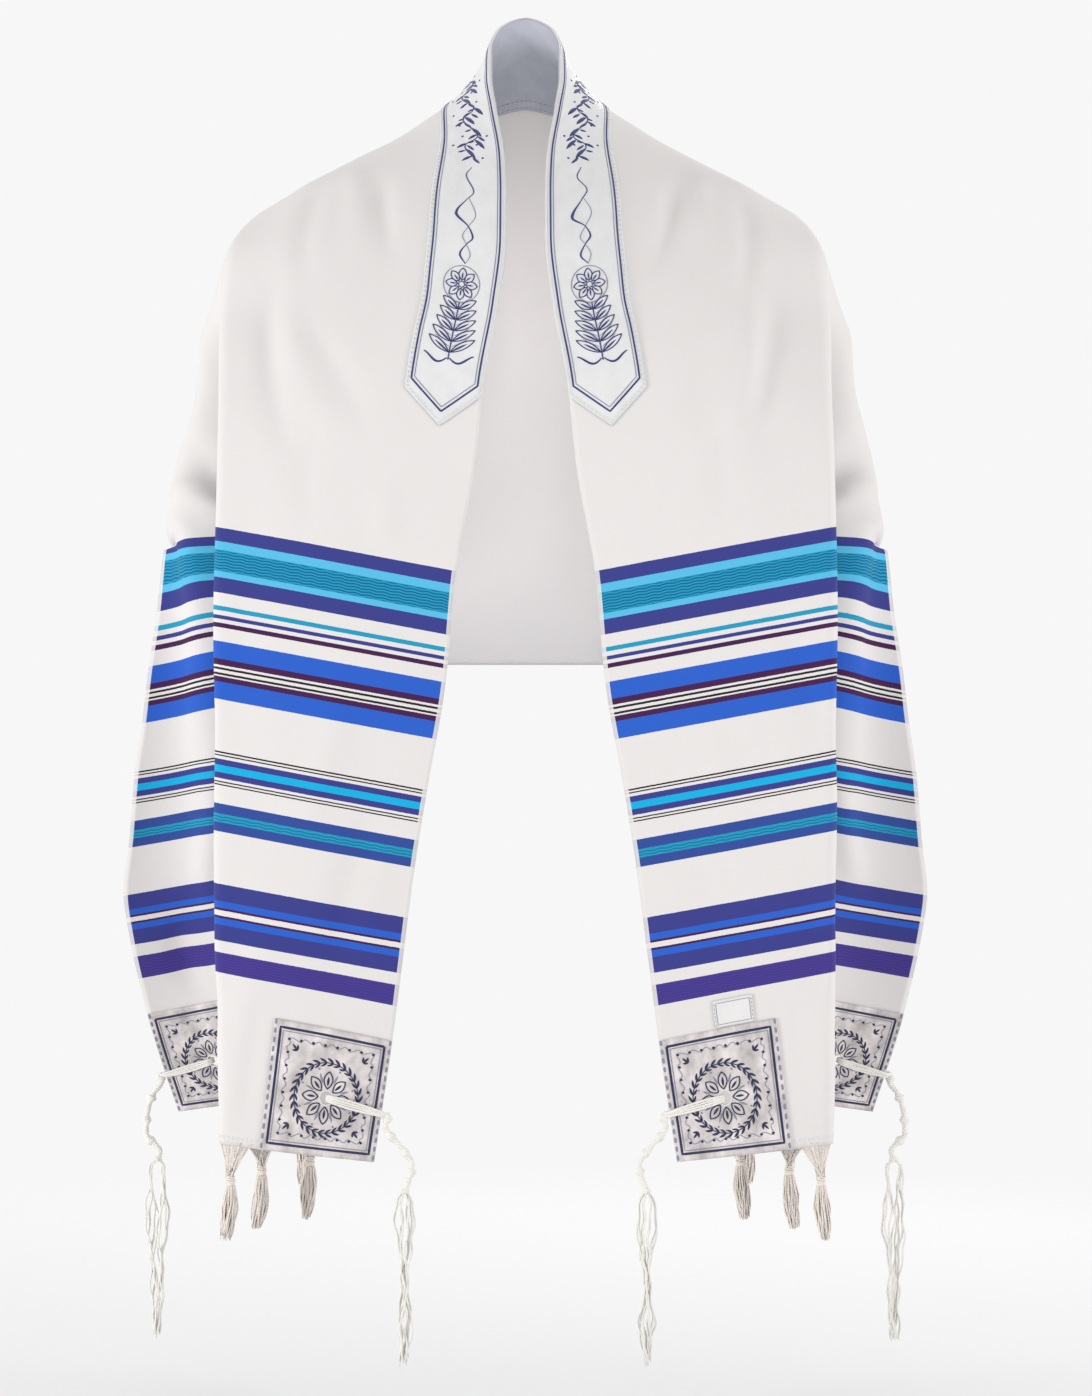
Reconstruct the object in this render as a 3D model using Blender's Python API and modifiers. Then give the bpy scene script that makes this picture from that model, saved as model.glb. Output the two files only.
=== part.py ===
"""A prayer shawl worn over the shoulders: one woven sheet, striped across its two ends, with an
embroidered neckband, a neck lining, four corner patches, knotted corner strings and hem tassels.

The sheet is described by s, the distance along its length from the centre of the back, and t, the
distance across its width from the neck edge. Named rails run along the sheet, each with its place
in space at a few values of s. A section at s is a smooth curve through the rails, and everything
sewn on the sheet is made from the sheet's own points, moved out along its normals.

Axes: X to the right as seen from the front, Y to the back, Z up. The origin is at the nape.
"""
import math

import bmesh
import bpy
import numpy as np

# Sizes of the flat sheet
HALF_LENGTH = 0.915
WIDTH = 0.510
CLOTH_WALL = 0.0016
SEAM_GAP = 0.0003

# What is sewn on it
BAND_WIDTH = 0.057
BAND_HALF_LENGTH = 0.385
BAND_POINT = 0.027
BAND_WALL = 0.0012
LINING_HALF_LENGTH = 0.100
LINING_DROP = 0.072
LINING_WALL = 0.0010
PATCH_SIDE = 0.088
PATCH_WALL = 0.0010
LABEL_WALL = 0.0008
LABEL_T = (0.0428, 0.072)
LABEL_LENGTH = 0.020

# Folds
FOLD_GAP = 0.016
FOLD_LEAD = 0.016
FLUTE_DEPTH = 0.016
FLUTE_PITCH = 0.135

# Corner strings: eyelet place from the two edges of its corner, and the knotted chain
EYELET_IN = 0.043
EYELET_UP = 0.040
EYELET_RADIUS = 0.0045
EDGE_UP = 0.035
STRING_COUNT = 8
STRING_RADIUS = 0.0009
LOOP_RADIUS = 0.0016
SIDE_SLACK = 0.0005
CHAIN_RADIUS = 0.0021
KNOT_RADIUS = 0.0036
CHAIN_KNOTS = 5

# Hem tassels
TASSEL_T = (0.113, 0.168, 0.211, 0.392)
TASSEL_KNOT_DROP = 0.026
TASSEL_LENGTH = 0.068
TASSEL_SPREAD = 0.019
TASSEL_SLACK = 0.0002
TASSEL_NET = 5
TASSEL_STRANDS = 8
THREAD_RADIUS = 0.0007

# Rails: s, then x, y, z of the rail on the wearer's side that is at -X
RAILS = {
    "neck_edge": (
        (0.0, 0.0, -0.025, 0.0658),
        (0.022, -0.0197, -0.029, 0.0568),
        (0.042, -0.0261, -0.036, 0.0405),
        (0.066, -0.0260, -0.047, 0.0195),
        (0.100, -0.0221, -0.066, -0.0075),
        (0.156, -0.0156, -0.097, -0.0502),
        (0.200, -0.0143, -0.122, -0.0832),
        (0.235, -0.0142, -0.142, -0.1144),
        (0.285, -0.0199, -0.162, -0.1650),
        (0.345, -0.0300, -0.175, -0.2204),
        (0.410, -0.0365, -0.183, -0.2822),
        (0.4854, -0.0501, -0.185, -0.3598),
        (0.5665, -0.0576, -0.185, -0.4400),
        (0.6435, -0.0709, -0.185, -0.5160),
        (0.699, -0.0796, -0.185, -0.5710),
        (0.7747, -0.0893, -0.185, -0.6458),
        (0.8255, -0.0958, -0.185, -0.6955),
        (0.915, -0.1091, -0.185, -0.7840),
    ),
    "collar_line": (
        (0.0, 0.0, 0.0, 0.0000),
        (0.050, -0.0480, 0.002, 0.0170),
        (0.100, -0.0650, -0.028, 0.0020),
        (0.156, -0.0720, -0.061, -0.0280),
        (0.200, -0.0750, -0.094, -0.0640),
        (0.235, -0.0800, -0.120, -0.0990),
        (0.266, -0.0840, -0.139, -0.1330),
        (0.3015, -0.0900, -0.157, -0.1680),
        (0.345, -0.0940, -0.173, -0.2120),
        (0.410, -0.0980, -0.184, -0.2720),
        (0.4854, -0.1080, -0.190, -0.3490),
        (0.5665, -0.1132, -0.190, -0.4298),
        (0.6435, -0.1221, -0.190, -0.5063),
        (0.699, -0.1279, -0.190, -0.5620),
        (0.7747, -0.1343, -0.190, -0.6376),
        (0.8255, -0.1386, -0.190, -0.6861),
        (0.915, -0.1464, -0.190, -0.7797),
    ),
    "shoulder_line": (
        (0.0, 0.0, 0.020, -0.0550),
        (0.050, -0.0510, 0.021, -0.0500),
        (0.100, -0.0950, 0.008, -0.0340),
        (0.156, -0.1290, -0.014, -0.0370),
        (0.200, -0.1480, -0.052, -0.0530),
        (0.235, -0.1560, -0.084, -0.0800),
        (0.266, -0.1600, -0.112, -0.1150),
        (0.3015, -0.1600, -0.137, -0.1590),
        (0.345, -0.1600, -0.160, -0.2050),
        (0.410, -0.1620, -0.176, -0.2620),
        (0.4854, -0.1660, -0.187, -0.3380),
        (0.5665, -0.1688, -0.190, -0.4196),
        (0.6435, -0.1732, -0.190, -0.4967),
        (0.699, -0.1761, -0.190, -0.5530),
        (0.7747, -0.1792, -0.190, -0.6293),
        (0.8255, -0.1813, -0.190, -0.6782),
        (0.915, -0.1837, -0.190, -0.7754),
    ),
    "front_fold": (
        (0.0, 0.0, 0.035, -0.1180),
        (0.050, -0.0500, 0.034, -0.1170),
        (0.100, -0.1020, 0.027, -0.1100),
        (0.156, -0.1560, 0.005, -0.0960),
        (0.200, -0.1960, -0.022, -0.0900),
        (0.235, -0.2150, -0.048, -0.1020),
        (0.266, -0.2239, -0.080, -0.1240),
        (0.3015, -0.2245, -0.105, -0.1580),
        (0.345, -0.2243, -0.135, -0.2000),
        (0.410, -0.2240, -0.160, -0.2520),
        (0.4854, -0.2243, -0.176, -0.3273),
        (0.5665, -0.2245, -0.182, -0.4094),
        (0.6435, -0.2245, -0.185, -0.4871),
        (0.699, -0.2245, -0.185, -0.5440),
        (0.7747, -0.2240, -0.185, -0.6214),
        (0.8255, -0.2232, -0.185, -0.6710),
        (0.915, -0.2210, -0.185, -0.7711),
    ),
    "side_line": (
        (0.0, 0.0, 0.049, -0.2300),
        (0.050, -0.0500, 0.049, -0.2290),
        (0.100, -0.1000, 0.045, -0.2260),
        (0.156, -0.1530, 0.034, -0.2170),
        (0.200, -0.1940, 0.015, -0.2060),
        (0.235, -0.2280, -0.010, -0.1900),
        (0.266, -0.2500, -0.034, -0.1820),
        (0.3015, -0.2545, -0.060, -0.2120),
        (0.345, -0.2535, -0.086, -0.2560),
        (0.410, -0.2570, -0.110, -0.2990),
        (0.4854, -0.2450, -0.124, -0.3320),
        (0.5665, -0.2160, -0.112, -0.4140),
        (0.6435, -0.1990, -0.092, -0.4880),
        (0.699, -0.1860, -0.078, -0.5406),
        (0.7747, -0.1680, -0.058, -0.6120),
        (0.8255, -0.1540, -0.043, -0.6610),
        (0.915, -0.1320, -0.020, -0.7460),
    ),
    "long_hem": (
        (0.0, 0.0, 0.045, -0.4244),
        (0.050, -0.0420, 0.045, -0.4244),
        (0.100, -0.0850, 0.044, -0.4240),
        (0.156, -0.1320, 0.041, -0.4200),
        (0.200, -0.1660, 0.034, -0.4150),
        (0.266, -0.2160, 0.012, -0.4020),
        (0.345, -0.2540, -0.020, -0.3920),
        (0.410, -0.2655, -0.052, -0.3720),
        (0.4854, -0.2690, -0.078, -0.3400),
        (0.5308, -0.2745, -0.083, -0.3860),
        (0.5665, -0.2815, -0.075, -0.4280),
        (0.6074, -0.2872, -0.065, -0.4695),
        (0.6435, -0.2934, -0.055, -0.5050),
        (0.699, -0.2998, -0.038, -0.5620),
        (0.7352, -0.3047, -0.026, -0.5980),
        (0.7747, -0.3008, -0.012, -0.6350),
        (0.8255, -0.2901, 0.008, -0.6905),
        (0.915, -0.2681, 0.036, -0.7690),
    ),
}

# The pleat behind each front, by s: its depth, and the swell of the side panel beyond it
PLEAT = (
    (0.0, 0.000, 0.000),
    (0.266, 0.000, 0.000),
    (0.3015, 0.018, 0.002),
    (0.345, 0.045, 0.004),
    (0.410, 0.085, 0.008),
    (0.4854, 0.112, 0.004),
    (0.5665, 0.112, 0.008),
    (0.699, 0.115, 0.010),
    (0.7747, 0.114, 0.010),
    (0.915, 0.107, 0.008),
)

# Rows of the solid sheet, as runs of s with the number of cells in each
ROW_RUNS = (
    (0.0, 0.060, 5),
    (0.060, 0.100, 2),
    (0.100, 0.358, 11),
    (0.358, 0.385, 2),
    (0.385, 0.827, 10),
    (0.827, 0.915, 3),
)
BAND_COLUMNS = (0.0, 0.01425, 0.0285, 0.04275, 0.057, 0.072, 0.088)
SIDE_PATCH_COLUMNS = (0.422, 0.444, 0.466, 0.488, 0.510)

COLOURS = {
    "cloth": (0.86, 0.84, 0.82),
    "band": (0.86, 0.85, 0.84),
    "lining": (0.40, 0.41, 0.47),
    "patch": (0.68, 0.66, 0.65),
    "label": (0.85, 0.84, 0.82),
    "strings": (0.87, 0.84, 0.72),
    "tassels": (0.73, 0.66, 0.62),
}


def smooth_step(value, low, high):
    """0 below low, 1 above high, and a smooth rise between."""
    x = np.clip((np.asarray(value, float) - low) / (high - low), 0.0, 1.0)
    return x * x * (3.0 - 2.0 * x)


def monotone_curve(knots, values, at):
    """Cubic Hermite curve through the knots with Fritsch and Carlson's slopes: no overshoot."""
    knots = np.asarray(knots, float)
    values = np.asarray(values, float)
    step = np.diff(knots)
    slope = np.diff(values) / step
    inner = np.zeros(len(knots))
    same = slope[:-1] * slope[1:] > 0.0
    w0 = 2.0 * step[1:] + step[:-1]
    w1 = step[1:] + 2.0 * step[:-1]
    safe0 = np.where(same, slope[:-1], 1.0)
    safe1 = np.where(same, slope[1:], 1.0)
    inner[1:-1] = np.where(same, (w0 + w1) / (w0 / safe0 + w1 / safe1), 0.0)
    inner[0] = slope[0]
    inner[-1] = slope[-1]
    at = np.clip(at, knots[0], knots[-1])
    k = np.clip(np.searchsorted(knots, at) - 1, 0, len(step) - 1)
    u = (at - knots[k]) / step[k]
    h00 = (1.0 + 2.0 * u) * (1.0 - u) ** 2
    h10 = u * (1.0 - u) ** 2
    h01 = u * u * (3.0 - 2.0 * u)
    h11 = u * u * (u - 1.0)
    rise = h10 * inner[k] + h11 * inner[k + 1]
    return h00 * values[k] + h01 * values[k + 1] + rise * step[k]


def rail(name, s):
    """Points of a rail at s; the rows are mirrored, so that it crosses the centre smoothly."""
    rows = np.array(RAILS[name])
    left = rows[:0:-1] * (-1.0, -1.0, 1.0, 1.0)
    rows = np.vstack([left, rows])
    columns = [monotone_curve(rows[:, 0], rows[:, i], s) for i in (1, 2, 3)]
    return np.stack(columns, axis=-1)


def unit(vectors):
    return vectors / np.maximum(np.linalg.norm(vectors, axis=-1, keepdims=True), 1e-9)


def section_controls(s):
    """Control points of the sections at s, from the neck edge to the long hem."""
    s = np.asarray(s, float)
    side = np.where(s < 0.0, -1.0, 1.0)[:, None]
    mirror = np.concatenate([side, np.ones_like(side), np.ones_like(side)], axis=1)
    a = np.abs(s)
    edge, collar, shoulder, fold, wing, hem = (rail(name, a) for name in RAILS)
    table = np.array(PLEAT)
    depth = monotone_curve(table[:, 0], table[:, 1], a)[:, None]
    swell = monotone_curve(table[:, 0], table[:, 2], a)[:, None]
    folded = smooth_step(a, 0.255, 0.315)[:, None]
    back = np.array([0.0, 1.0, 0.0])
    inward = np.array([1.0, 0.0, 0.0])

    along = unit(wing - fold)
    turn = (1.0 - folded) * along * FOLD_GAP + folded * back * FOLD_GAP
    fold_front = fold - (1.0 - folded) * along * 0.5 * FOLD_GAP
    fold_back = fold_front + turn
    before_fold = fold_front + unit(shoulder - fold_front) * FOLD_LEAD

    middle = 0.5 * (fold_back + wing)
    open_inner = fold_back + 0.35 * (wing - fold_back)
    open_outer = fold_back + 0.55 * (wing - fold_back)
    deep = middle + inward * (depth - (middle[:, :1] - fold[:, :1]))
    deep[:, 1:2] = 0.5 * (fold[:, 1:2] + wing[:, 1:2]) - 0.002
    inner = (1.0 - folded) * open_inner + folded * deep
    outer = (1.0 - folded) * open_outer + folded * (deep + back * FOLD_GAP)
    after_fold = fold_back + unit(inner - fold_back) * np.minimum(FOLD_LEAD, 0.4 * depth + 0.006)
    before_pleat = inner + unit(fold_back - inner) * np.minimum(FOLD_LEAD, 0.4 * depth + 0.005)
    after_pleat = outer + unit(wing - outer) * np.minimum(FOLD_LEAD, 0.4 * depth + 0.006)

    reach = hem - wing
    outward = unit(np.cross(reach, np.array([0.0, 0.0, 1.0])))
    first = wing + 0.36 * reach - outward * swell
    second = wing + 0.72 * reach + outward * swell
    points = [edge, collar, shoulder, before_fold, fold_front, fold_back, after_fold,
              before_pleat, inner, outer, after_pleat, wing, first, second, hem]
    return np.stack([p * mirror for p in points], axis=1)


def spline_basis(count, q):
    """Clamped quadratic B-spline basis for count controls, at q from 0 to count - 2."""
    q = np.asarray(q, float)
    knots = np.concatenate([[0.0, 0.0], np.arange(count - 1), [count - 2.0, count - 2.0]])
    inside = np.minimum(q, count - 2.0 - 1e-9)
    basis = ((knots[None, :-1] <= inside[:, None]) & (inside[:, None] < knots[None, 1:])) * 1.0
    for degree in (1, 2):
        rise = knots[degree:-1] - knots[:-degree - 1]
        fall = knots[degree + 1:] - knots[1:-degree]
        up = np.where(rise > 0.0, (inside[:, None] - knots[:-degree - 1]) / np.maximum(rise, 1e-9), 0.0)
        down = np.where(fall > 0.0, (knots[degree + 1:] - inside[:, None]) / np.maximum(fall, 1e-9), 0.0)
        basis = up * basis[:, :-1] + down * basis[:, 1:]
    return basis


FOLD_Q = (3.0, 3.5, 4.0, 4.5, 5.0, 6.0)
PLEAT_Q = (6.7, 7.5, 8.0, 8.5, 9.3)
WING_Q = 10.5


def dense_sections(s, samples=300):
    """Sections at s as dense polylines: q, the points, and t along each of them."""
    q = np.linspace(0.0, 13.0, samples)
    points = np.einsum("qk,skx->sqx", spline_basis(15, q), section_controls(s))
    steps = np.linalg.norm(np.diff(points, axis=1), axis=2)
    length = np.concatenate([np.zeros((len(points), 1)), np.cumsum(steps, axis=1)], axis=1)
    t = length / length[:, -1:] * WIDTH
    return q, flute(points, np.asarray(s, float), t), t


def flute(points, s, t):
    """The back hangs in soft flutes that grow from the shoulder blades down to the hem."""
    a = np.abs(s)[:, None]
    window = smooth_step(a, 0.045, 0.13) * (1.0 - smooth_step(a, 0.31, 0.40))
    depth = FLUTE_DEPTH * smooth_step(t, 0.20, WIDTH) * window
    wave = np.sin(2.0 * math.pi * (a - 0.05) / FLUTE_PITCH)
    angle = smooth_step(a, 0.05, 0.42) * math.radians(80.0)
    side = np.where(s < 0.0, 1.0, -1.0)[:, None]
    moved = points.copy()
    moved[..., 0] += depth * wave * np.sin(angle) * side
    moved[..., 1] += depth * wave * np.cos(angle)
    return moved


def sheet_points(s, t):
    """Points of the sheet at s (one for each row) and t (a row of values for each s)."""
    _, points, dense_t = dense_sections(s)
    t = np.broadcast_to(t, (len(points), np.shape(t)[-1]))
    rows = [np.stack([np.interp(t[i], dense_t[i], points[i, :, k]) for k in range(3)], axis=-1)
            for i in range(len(points))]
    return np.array(rows)


def sheet_columns(s):
    """Values of t at the columns of the solid sheet, for each row: they follow the folds."""
    q, _, dense_t = dense_sections(s)
    a = np.abs(np.asarray(s, float))

    def at(value):
        return np.array([np.interp(value, q, row) for row in dense_t])

    fixed = [np.full(len(a), t) for t in BAND_COLUMNS]
    fold = [at(value) for value in FOLD_Q]
    pleat = [at(value) for value in PLEAT_Q]
    first_gap = [fixed[-1] + (fold[0] - fixed[-1]) * 0.5]
    wing = at(WING_Q)
    patch = smooth_step(a, 0.74, 0.80)
    side = []
    for k, target in enumerate(SIDE_PATCH_COLUMNS):
        free = wing + (WIDTH - wing) * (k + 1) / len(SIDE_PATCH_COLUMNS)
        side.append((1.0 - patch) * free + patch * target)
    between = [0.5 * (pleat[-1] + wing)]
    return np.stack(fixed + first_gap + fold + pleat + between + [wing] + side, axis=1)


def sheet_rows():
    half = []
    for low, high, cells in ROW_RUNS:
        half.extend(np.linspace(low, high, cells + 1)[:-1])
    half.append(HALF_LENGTH)
    half = np.array(half)
    return np.concatenate([-half[:0:-1], half])


def grid_normals(points):
    """Outward normals at a grid's points, for panels laid parallel to it.

    Each is the mean of the normals of the triangles around its point, lengthened so that a
    step of one along it is a step of one away from those triangles.
    """
    across = points[:-1, 1:] - points[:-1, :-1]
    diagonal = points[1:, 1:] - points[:-1, :-1]
    along = points[1:, :-1] - points[:-1, :-1]
    upper = unit(np.cross(across, diagonal))
    lower = unit(np.cross(diagonal, along))
    corners = (slice(None, -1), slice(1, None))
    touching = [(upper, 0, 0), (upper, 0, 1), (upper, 1, 1), (lower, 0, 0), (lower, 1, 1), (lower, 1, 0)]
    total = np.zeros_like(points)
    count = np.zeros(points.shape[:2])
    for faces, i, j in touching:
        total[corners[i], corners[j]] += faces
        count[corners[i], corners[j]] += 1.0
    normal = unit(total)
    lean = np.zeros(points.shape[:2])
    for faces, i, j in touching:
        lean[corners[i], corners[j]] += np.sum(faces * normal[corners[i], corners[j]], axis=-1)
    return normal / (lean / count)[..., None]


ROWS = sheet_rows()
COLUMNS = sheet_columns(ROWS)
SHEET = sheet_points(ROWS, COLUMNS)
NORMALS = grid_normals(SHEET)


def row_of(s):
    return int(np.argmin(np.abs(ROWS - s)))


def new_material(name, colour, roughness=0.85):
    material = bpy.data.materials.new(name)
    material.use_nodes = True
    shader = material.node_tree.nodes["Principled BSDF"]
    shader.inputs["Base Color"].default_value = (*colour, 1.0)
    shader.inputs["Roughness"].default_value = roughness
    shader.inputs["Metallic"].default_value = 0.0
    return material


def add_object(name, mesh, material, collection):
    obj = bpy.data.objects.new(name, mesh)
    collection.objects.link(obj)
    mesh.materials.append(material)
    return obj


def grid_mesh(name, points, keep=None):
    """A triangulated mesh over a grid of points; keep(i, j) says which points are used.

    Every panel splits its cells along the same diagonal as the sheet below it, so that two
    panels that share the sheet's rows and columns stay at one distance from each other.
    """
    rows, columns = points.shape[:2]
    faces = []
    for i in range(rows - 1):
        for j in range(columns - 1):
            corners = [(i, j), (i, j + 1), (i + 1, j + 1), (i + 1, j)]
            if keep is not None:
                corners = [c for c in corners if keep(*c)]
            index = [r * columns + c for r, c in corners]
            if len(index) == 4:
                faces.append((index[0], index[1], index[2]))
                faces.append((index[0], index[2], index[3]))
            elif len(index) == 3:
                faces.append(tuple(index))
    mesh = bpy.data.meshes.new(name)
    mesh.from_pydata(points.reshape(-1, 3).tolist(), [], faces)
    edit = bmesh.new()
    edit.from_mesh(mesh)
    loose = [v for v in edit.verts if not v.link_faces]
    bmesh.ops.delete(edit, geom=loose, context="VERTS")
    edit.to_mesh(mesh)
    edit.free()
    mesh.validate()
    return mesh


def add_shell(name, points, wall, material, collection, keep=None):
    """A sewn panel: a grid of points given a wall, half on each side of it."""
    obj = add_object(name, grid_mesh(name, points, keep), material, collection)
    solid = obj.modifiers.new("Wall", "SOLIDIFY")
    solid.thickness = wall
    solid.offset = 0.0
    solid.use_even_offset = True
    solid.use_rim = True
    for polygon in obj.data.polygons:
        polygon.use_smooth = True
    return obj


def add_panel(name, rows, columns, wall, side, material, collection, keep=None):
    """A panel laid on the sheet over a range of its rows and columns, on one side of it."""
    part = (slice(rows[0], rows[1] + 1), slice(columns[0], columns[1] + 1))
    lift = side * (0.5 * CLOTH_WALL + SEAM_GAP + 0.5 * wall)
    return add_shell(name, SHEET[part] + lift * NORMALS[part], wall, material, collection, keep)


def curve_mesh(name, lines, radius, resolution):
    """Lines as one mesh: each is a list of points with a factor on the radius."""
    curve = bpy.data.curves.new(name, "CURVE")
    curve.dimensions = "3D"
    curve.bevel_depth = radius
    curve.bevel_resolution = resolution
    curve.use_fill_caps = True
    for line in lines:
        spline = curve.splines.new("POLY")
        spline.points.add(len(line) - 1)
        for point, (place, factor) in zip(spline.points, line):
            point.co = (*place, 1.0)
            point.radius = factor
    source = bpy.data.objects.new(name, curve)
    bpy.context.scene.collection.objects.link(source)
    bpy.context.view_layer.update()
    evaluated = source.evaluated_get(bpy.context.evaluated_depsgraph_get())
    mesh = bpy.data.meshes.new_from_object(evaluated)
    bpy.data.objects.remove(source)
    bpy.data.curves.remove(curve)
    edit = bmesh.new()
    edit.from_mesh(mesh)
    bmesh.ops.remove_doubles(edit, verts=edit.verts, dist=0.00002)
    bmesh.ops.recalc_face_normals(edit, faces=edit.faces)
    edit.to_mesh(mesh)
    edit.free()
    return mesh


def add_boolean(obj, other, operation, cutters, self_crossing=False):
    modifier = obj.modifiers.new(operation.title(), "BOOLEAN")
    modifier.operation = operation
    modifier.object = other
    modifier.solver = "EXACT"
    modifier.use_self = self_crossing
    other.hide_render = True
    other.display_type = "WIRE"
    if other.name not in cutters.objects:
        cutters.objects.link(other)


def sheet_frame(s, t):
    """Point, outward normal, direction along the sheet and direction across it at s, t."""
    step = 0.004
    at_s = np.array([s - step, s, s + step])
    at_s = np.clip(at_s, -HALF_LENGTH, HALF_LENGTH)
    at_t = np.clip([t - step, t, t + step], 0.0, WIDTH)
    patch = sheet_points(at_s, at_t)
    along = unit(patch[2, 1] - patch[0, 1])
    across = unit(patch[1, 2] - patch[1, 0])
    return patch[1, 1], unit(np.cross(across, along)), along, across


# Centre line of each kind of knotted chain below the cloth's edge: sideways, down, in metres
FRONT_CHAIN = ((0.005, 0.002), (0.003, 0.009), (0.013, 0.023), (0.022, 0.037), (0.0165, 0.0576))
SIDE_CHAIN = ((-0.0036, 0.006), (-0.0097, 0.0153), (-0.0145, 0.030), (-0.0155, 0.046),
              (-0.0050, 0.060), (-0.0070, 0.068))
FRONT_STRING_LENGTH = 0.127
SIDE_STRING_LENGTH = 0.141


def chain_points(start, shape, side):
    """The chain's points, with x towards the body's middle and z down."""
    return [start + np.array([side * x, 0.0, -z]) for x, z in shape]


def add_corner_strings(name, s, t, edge_t, shape, drop, material, collection, cutters):
    """The strings of one corner: a loop through the eyelet and over the edge, knots, free ends."""
    toward = 1.0 if s > 0.0 else -1.0
    end = math.copysign(HALF_LENGTH - EYELET_UP, s)
    edge_s = math.copysign(HALF_LENGTH - EDGE_UP, s)
    eye, normal, _, _ = sheet_frame(end, t)
    rim, rim_normal, _, across = sheet_frame(edge_s, edge_t)
    out = across * (-1.0 if edge_t < 0.1 else 1.0)
    behind = 0.5 * CLOTH_WALL + 1.6 * SEAM_GAP + LOOP_RADIUS + (0.0 if edge_t < 0.1 else SIDE_SLACK)
    before = behind + PATCH_WALL + SEAM_GAP
    lying = [sheet_frame(edge_s + f * (end - edge_s), edge_t + f * (t - edge_t))[:2]
             for f in (0.25, 0.5, 0.75)]
    turn = rim + out * (CHAIN_RADIUS + 0.0035)
    down = np.array([0.0, 0.0, -1.0])
    loop = ([turn + rim_normal * 0.0008, rim + rim_normal * before + out * 0.001]
            + [place + lift * before for place, lift in lying]
            + [eye + normal * before + out * 0.002, eye - normal * behind + out * 0.002]
            + [place - lift * behind for place, lift in lying[::-1]]
            + [rim - rim_normal * behind + out * 0.001, turn - rim_normal * 0.0008])
    chain = chain_points(rim, shape, toward)
    stem = [turn] + chain
    lengths = np.concatenate([[0.0], np.cumsum([np.linalg.norm(b - a) for a, b in zip(stem, stem[1:])])])
    knots = [lengths[-1] * (0.04 + 0.94 * k / (CHAIN_KNOTS - 1)) for k in range(CHAIN_KNOTS)]
    line = []
    stations = sorted([0.0, lengths[-1]] + [k + d for k in knots for d in (-0.0035, 0.0, 0.0035)])
    for station in stations:
        station = min(max(station, 0.0), lengths[-1])
        place = np.array([np.interp(station, lengths, [p[i] for p in stem]) for i in range(3)])
        near = min(abs(station - k) for k in knots)
        line.append((place, KNOT_RADIUS / CHAIN_RADIUS if near < 0.001 else 1.0))
    tail = stem[-1]
    strings = []
    for k in range(STRING_COUNT):
        angle = 2.0 * math.pi * (k + 0.5) / STRING_COUNT
        lane = np.array([0.0075 * math.cos(angle), 0.0055 * math.sin(angle), 0.0])
        length = drop * (1.0 - 0.05 * ((3 * k) % 5) / 4.0)
        path = [(tail + down * -0.001 + 0.12 * lane, 1.0)]
        for part in (0.12, 0.34, 0.56, 0.78, 1.0):
            sway = 0.0022 * math.sin(2.0 * math.pi * 1.6 * part + 0.4 * k)
            place = tail + lane * min(1.0, part / 0.12) + down * length * part
            path.append((place + np.array([sway * part, 0.0, 0.0]), 1.0))
        strings.append(path)
    head = add_object(name, curve_mesh(name, [line], CHAIN_RADIUS, 1), material, collection)
    loops = curve_mesh(name + "_loop", [[(p, 1.0) for p in loop]], LOOP_RADIUS, 0)
    loop_object = bpy.data.objects.new(name + "_loop", loops)
    add_boolean(head, loop_object, "UNION", cutters, True)
    ends = curve_mesh(name + "_ends", strings, STRING_RADIUS, 0)
    ends_object = bpy.data.objects.new(name + "_ends", ends)
    add_boolean(head, ends_object, "UNION", cutters, True)
    return eye, normal


def add_tassel(name, s_sign, t, material, collection, cutters):
    """A hem tassel: threads out of the hem drawn to a knot, and a bunch of strands below it."""
    end = s_sign * HALF_LENGTH
    offsets = np.linspace(-TASSEL_SPREAD, TASSEL_SPREAD, TASSEL_NET)
    roots = sheet_points(np.array([end]), np.clip(t + offsets, 0.004, WIDTH - 0.004))[0]
    _, _, along, _ = sheet_frame(end, t)
    roots = roots + along * s_sign * (SEAM_GAP + THREAD_RADIUS + TASSEL_SLACK)
    knot = roots.mean(axis=0) + np.array([0.0, 0.0, -TASSEL_KNOT_DROP])
    net = [[(root, 1.0), (knot + np.array([0.0, 0.0, 0.001]), 1.0)] for root in roots]
    strands = []
    for k in range(TASSEL_STRANDS):
        angle = 2.0 * math.pi * (k + 0.5) / TASSEL_STRANDS
        lane = np.array([math.cos(angle), math.sin(angle), 0.0])
        reach = TASSEL_LENGTH - TASSEL_KNOT_DROP - 0.002 * (k % 3)
        strands.append([(knot + lane * 0.0012, 1.0),
                        (knot + lane * 0.0058 + np.array([0.0, 0.0, -0.55 * reach]), 1.0),
                        (knot + lane * 0.0045 + np.array([0.0, 0.0, -reach]), 1.0)])
    mesh = bpy.data.meshes.new(name)
    edit = bmesh.new()
    bmesh.ops.create_uvsphere(edit, u_segments=6, v_segments=4, radius=0.0036)
    bmesh.ops.translate(edit, verts=edit.verts, vec=tuple(knot))
    edit.to_mesh(mesh)
    edit.free()
    head = add_object(name, mesh, material, collection)
    threads = bpy.data.objects.new(name + "_threads", curve_mesh(name, net + strands, THREAD_RADIUS, 0))
    add_boolean(head, threads, "UNION", cutters, True)
    return head


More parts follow.
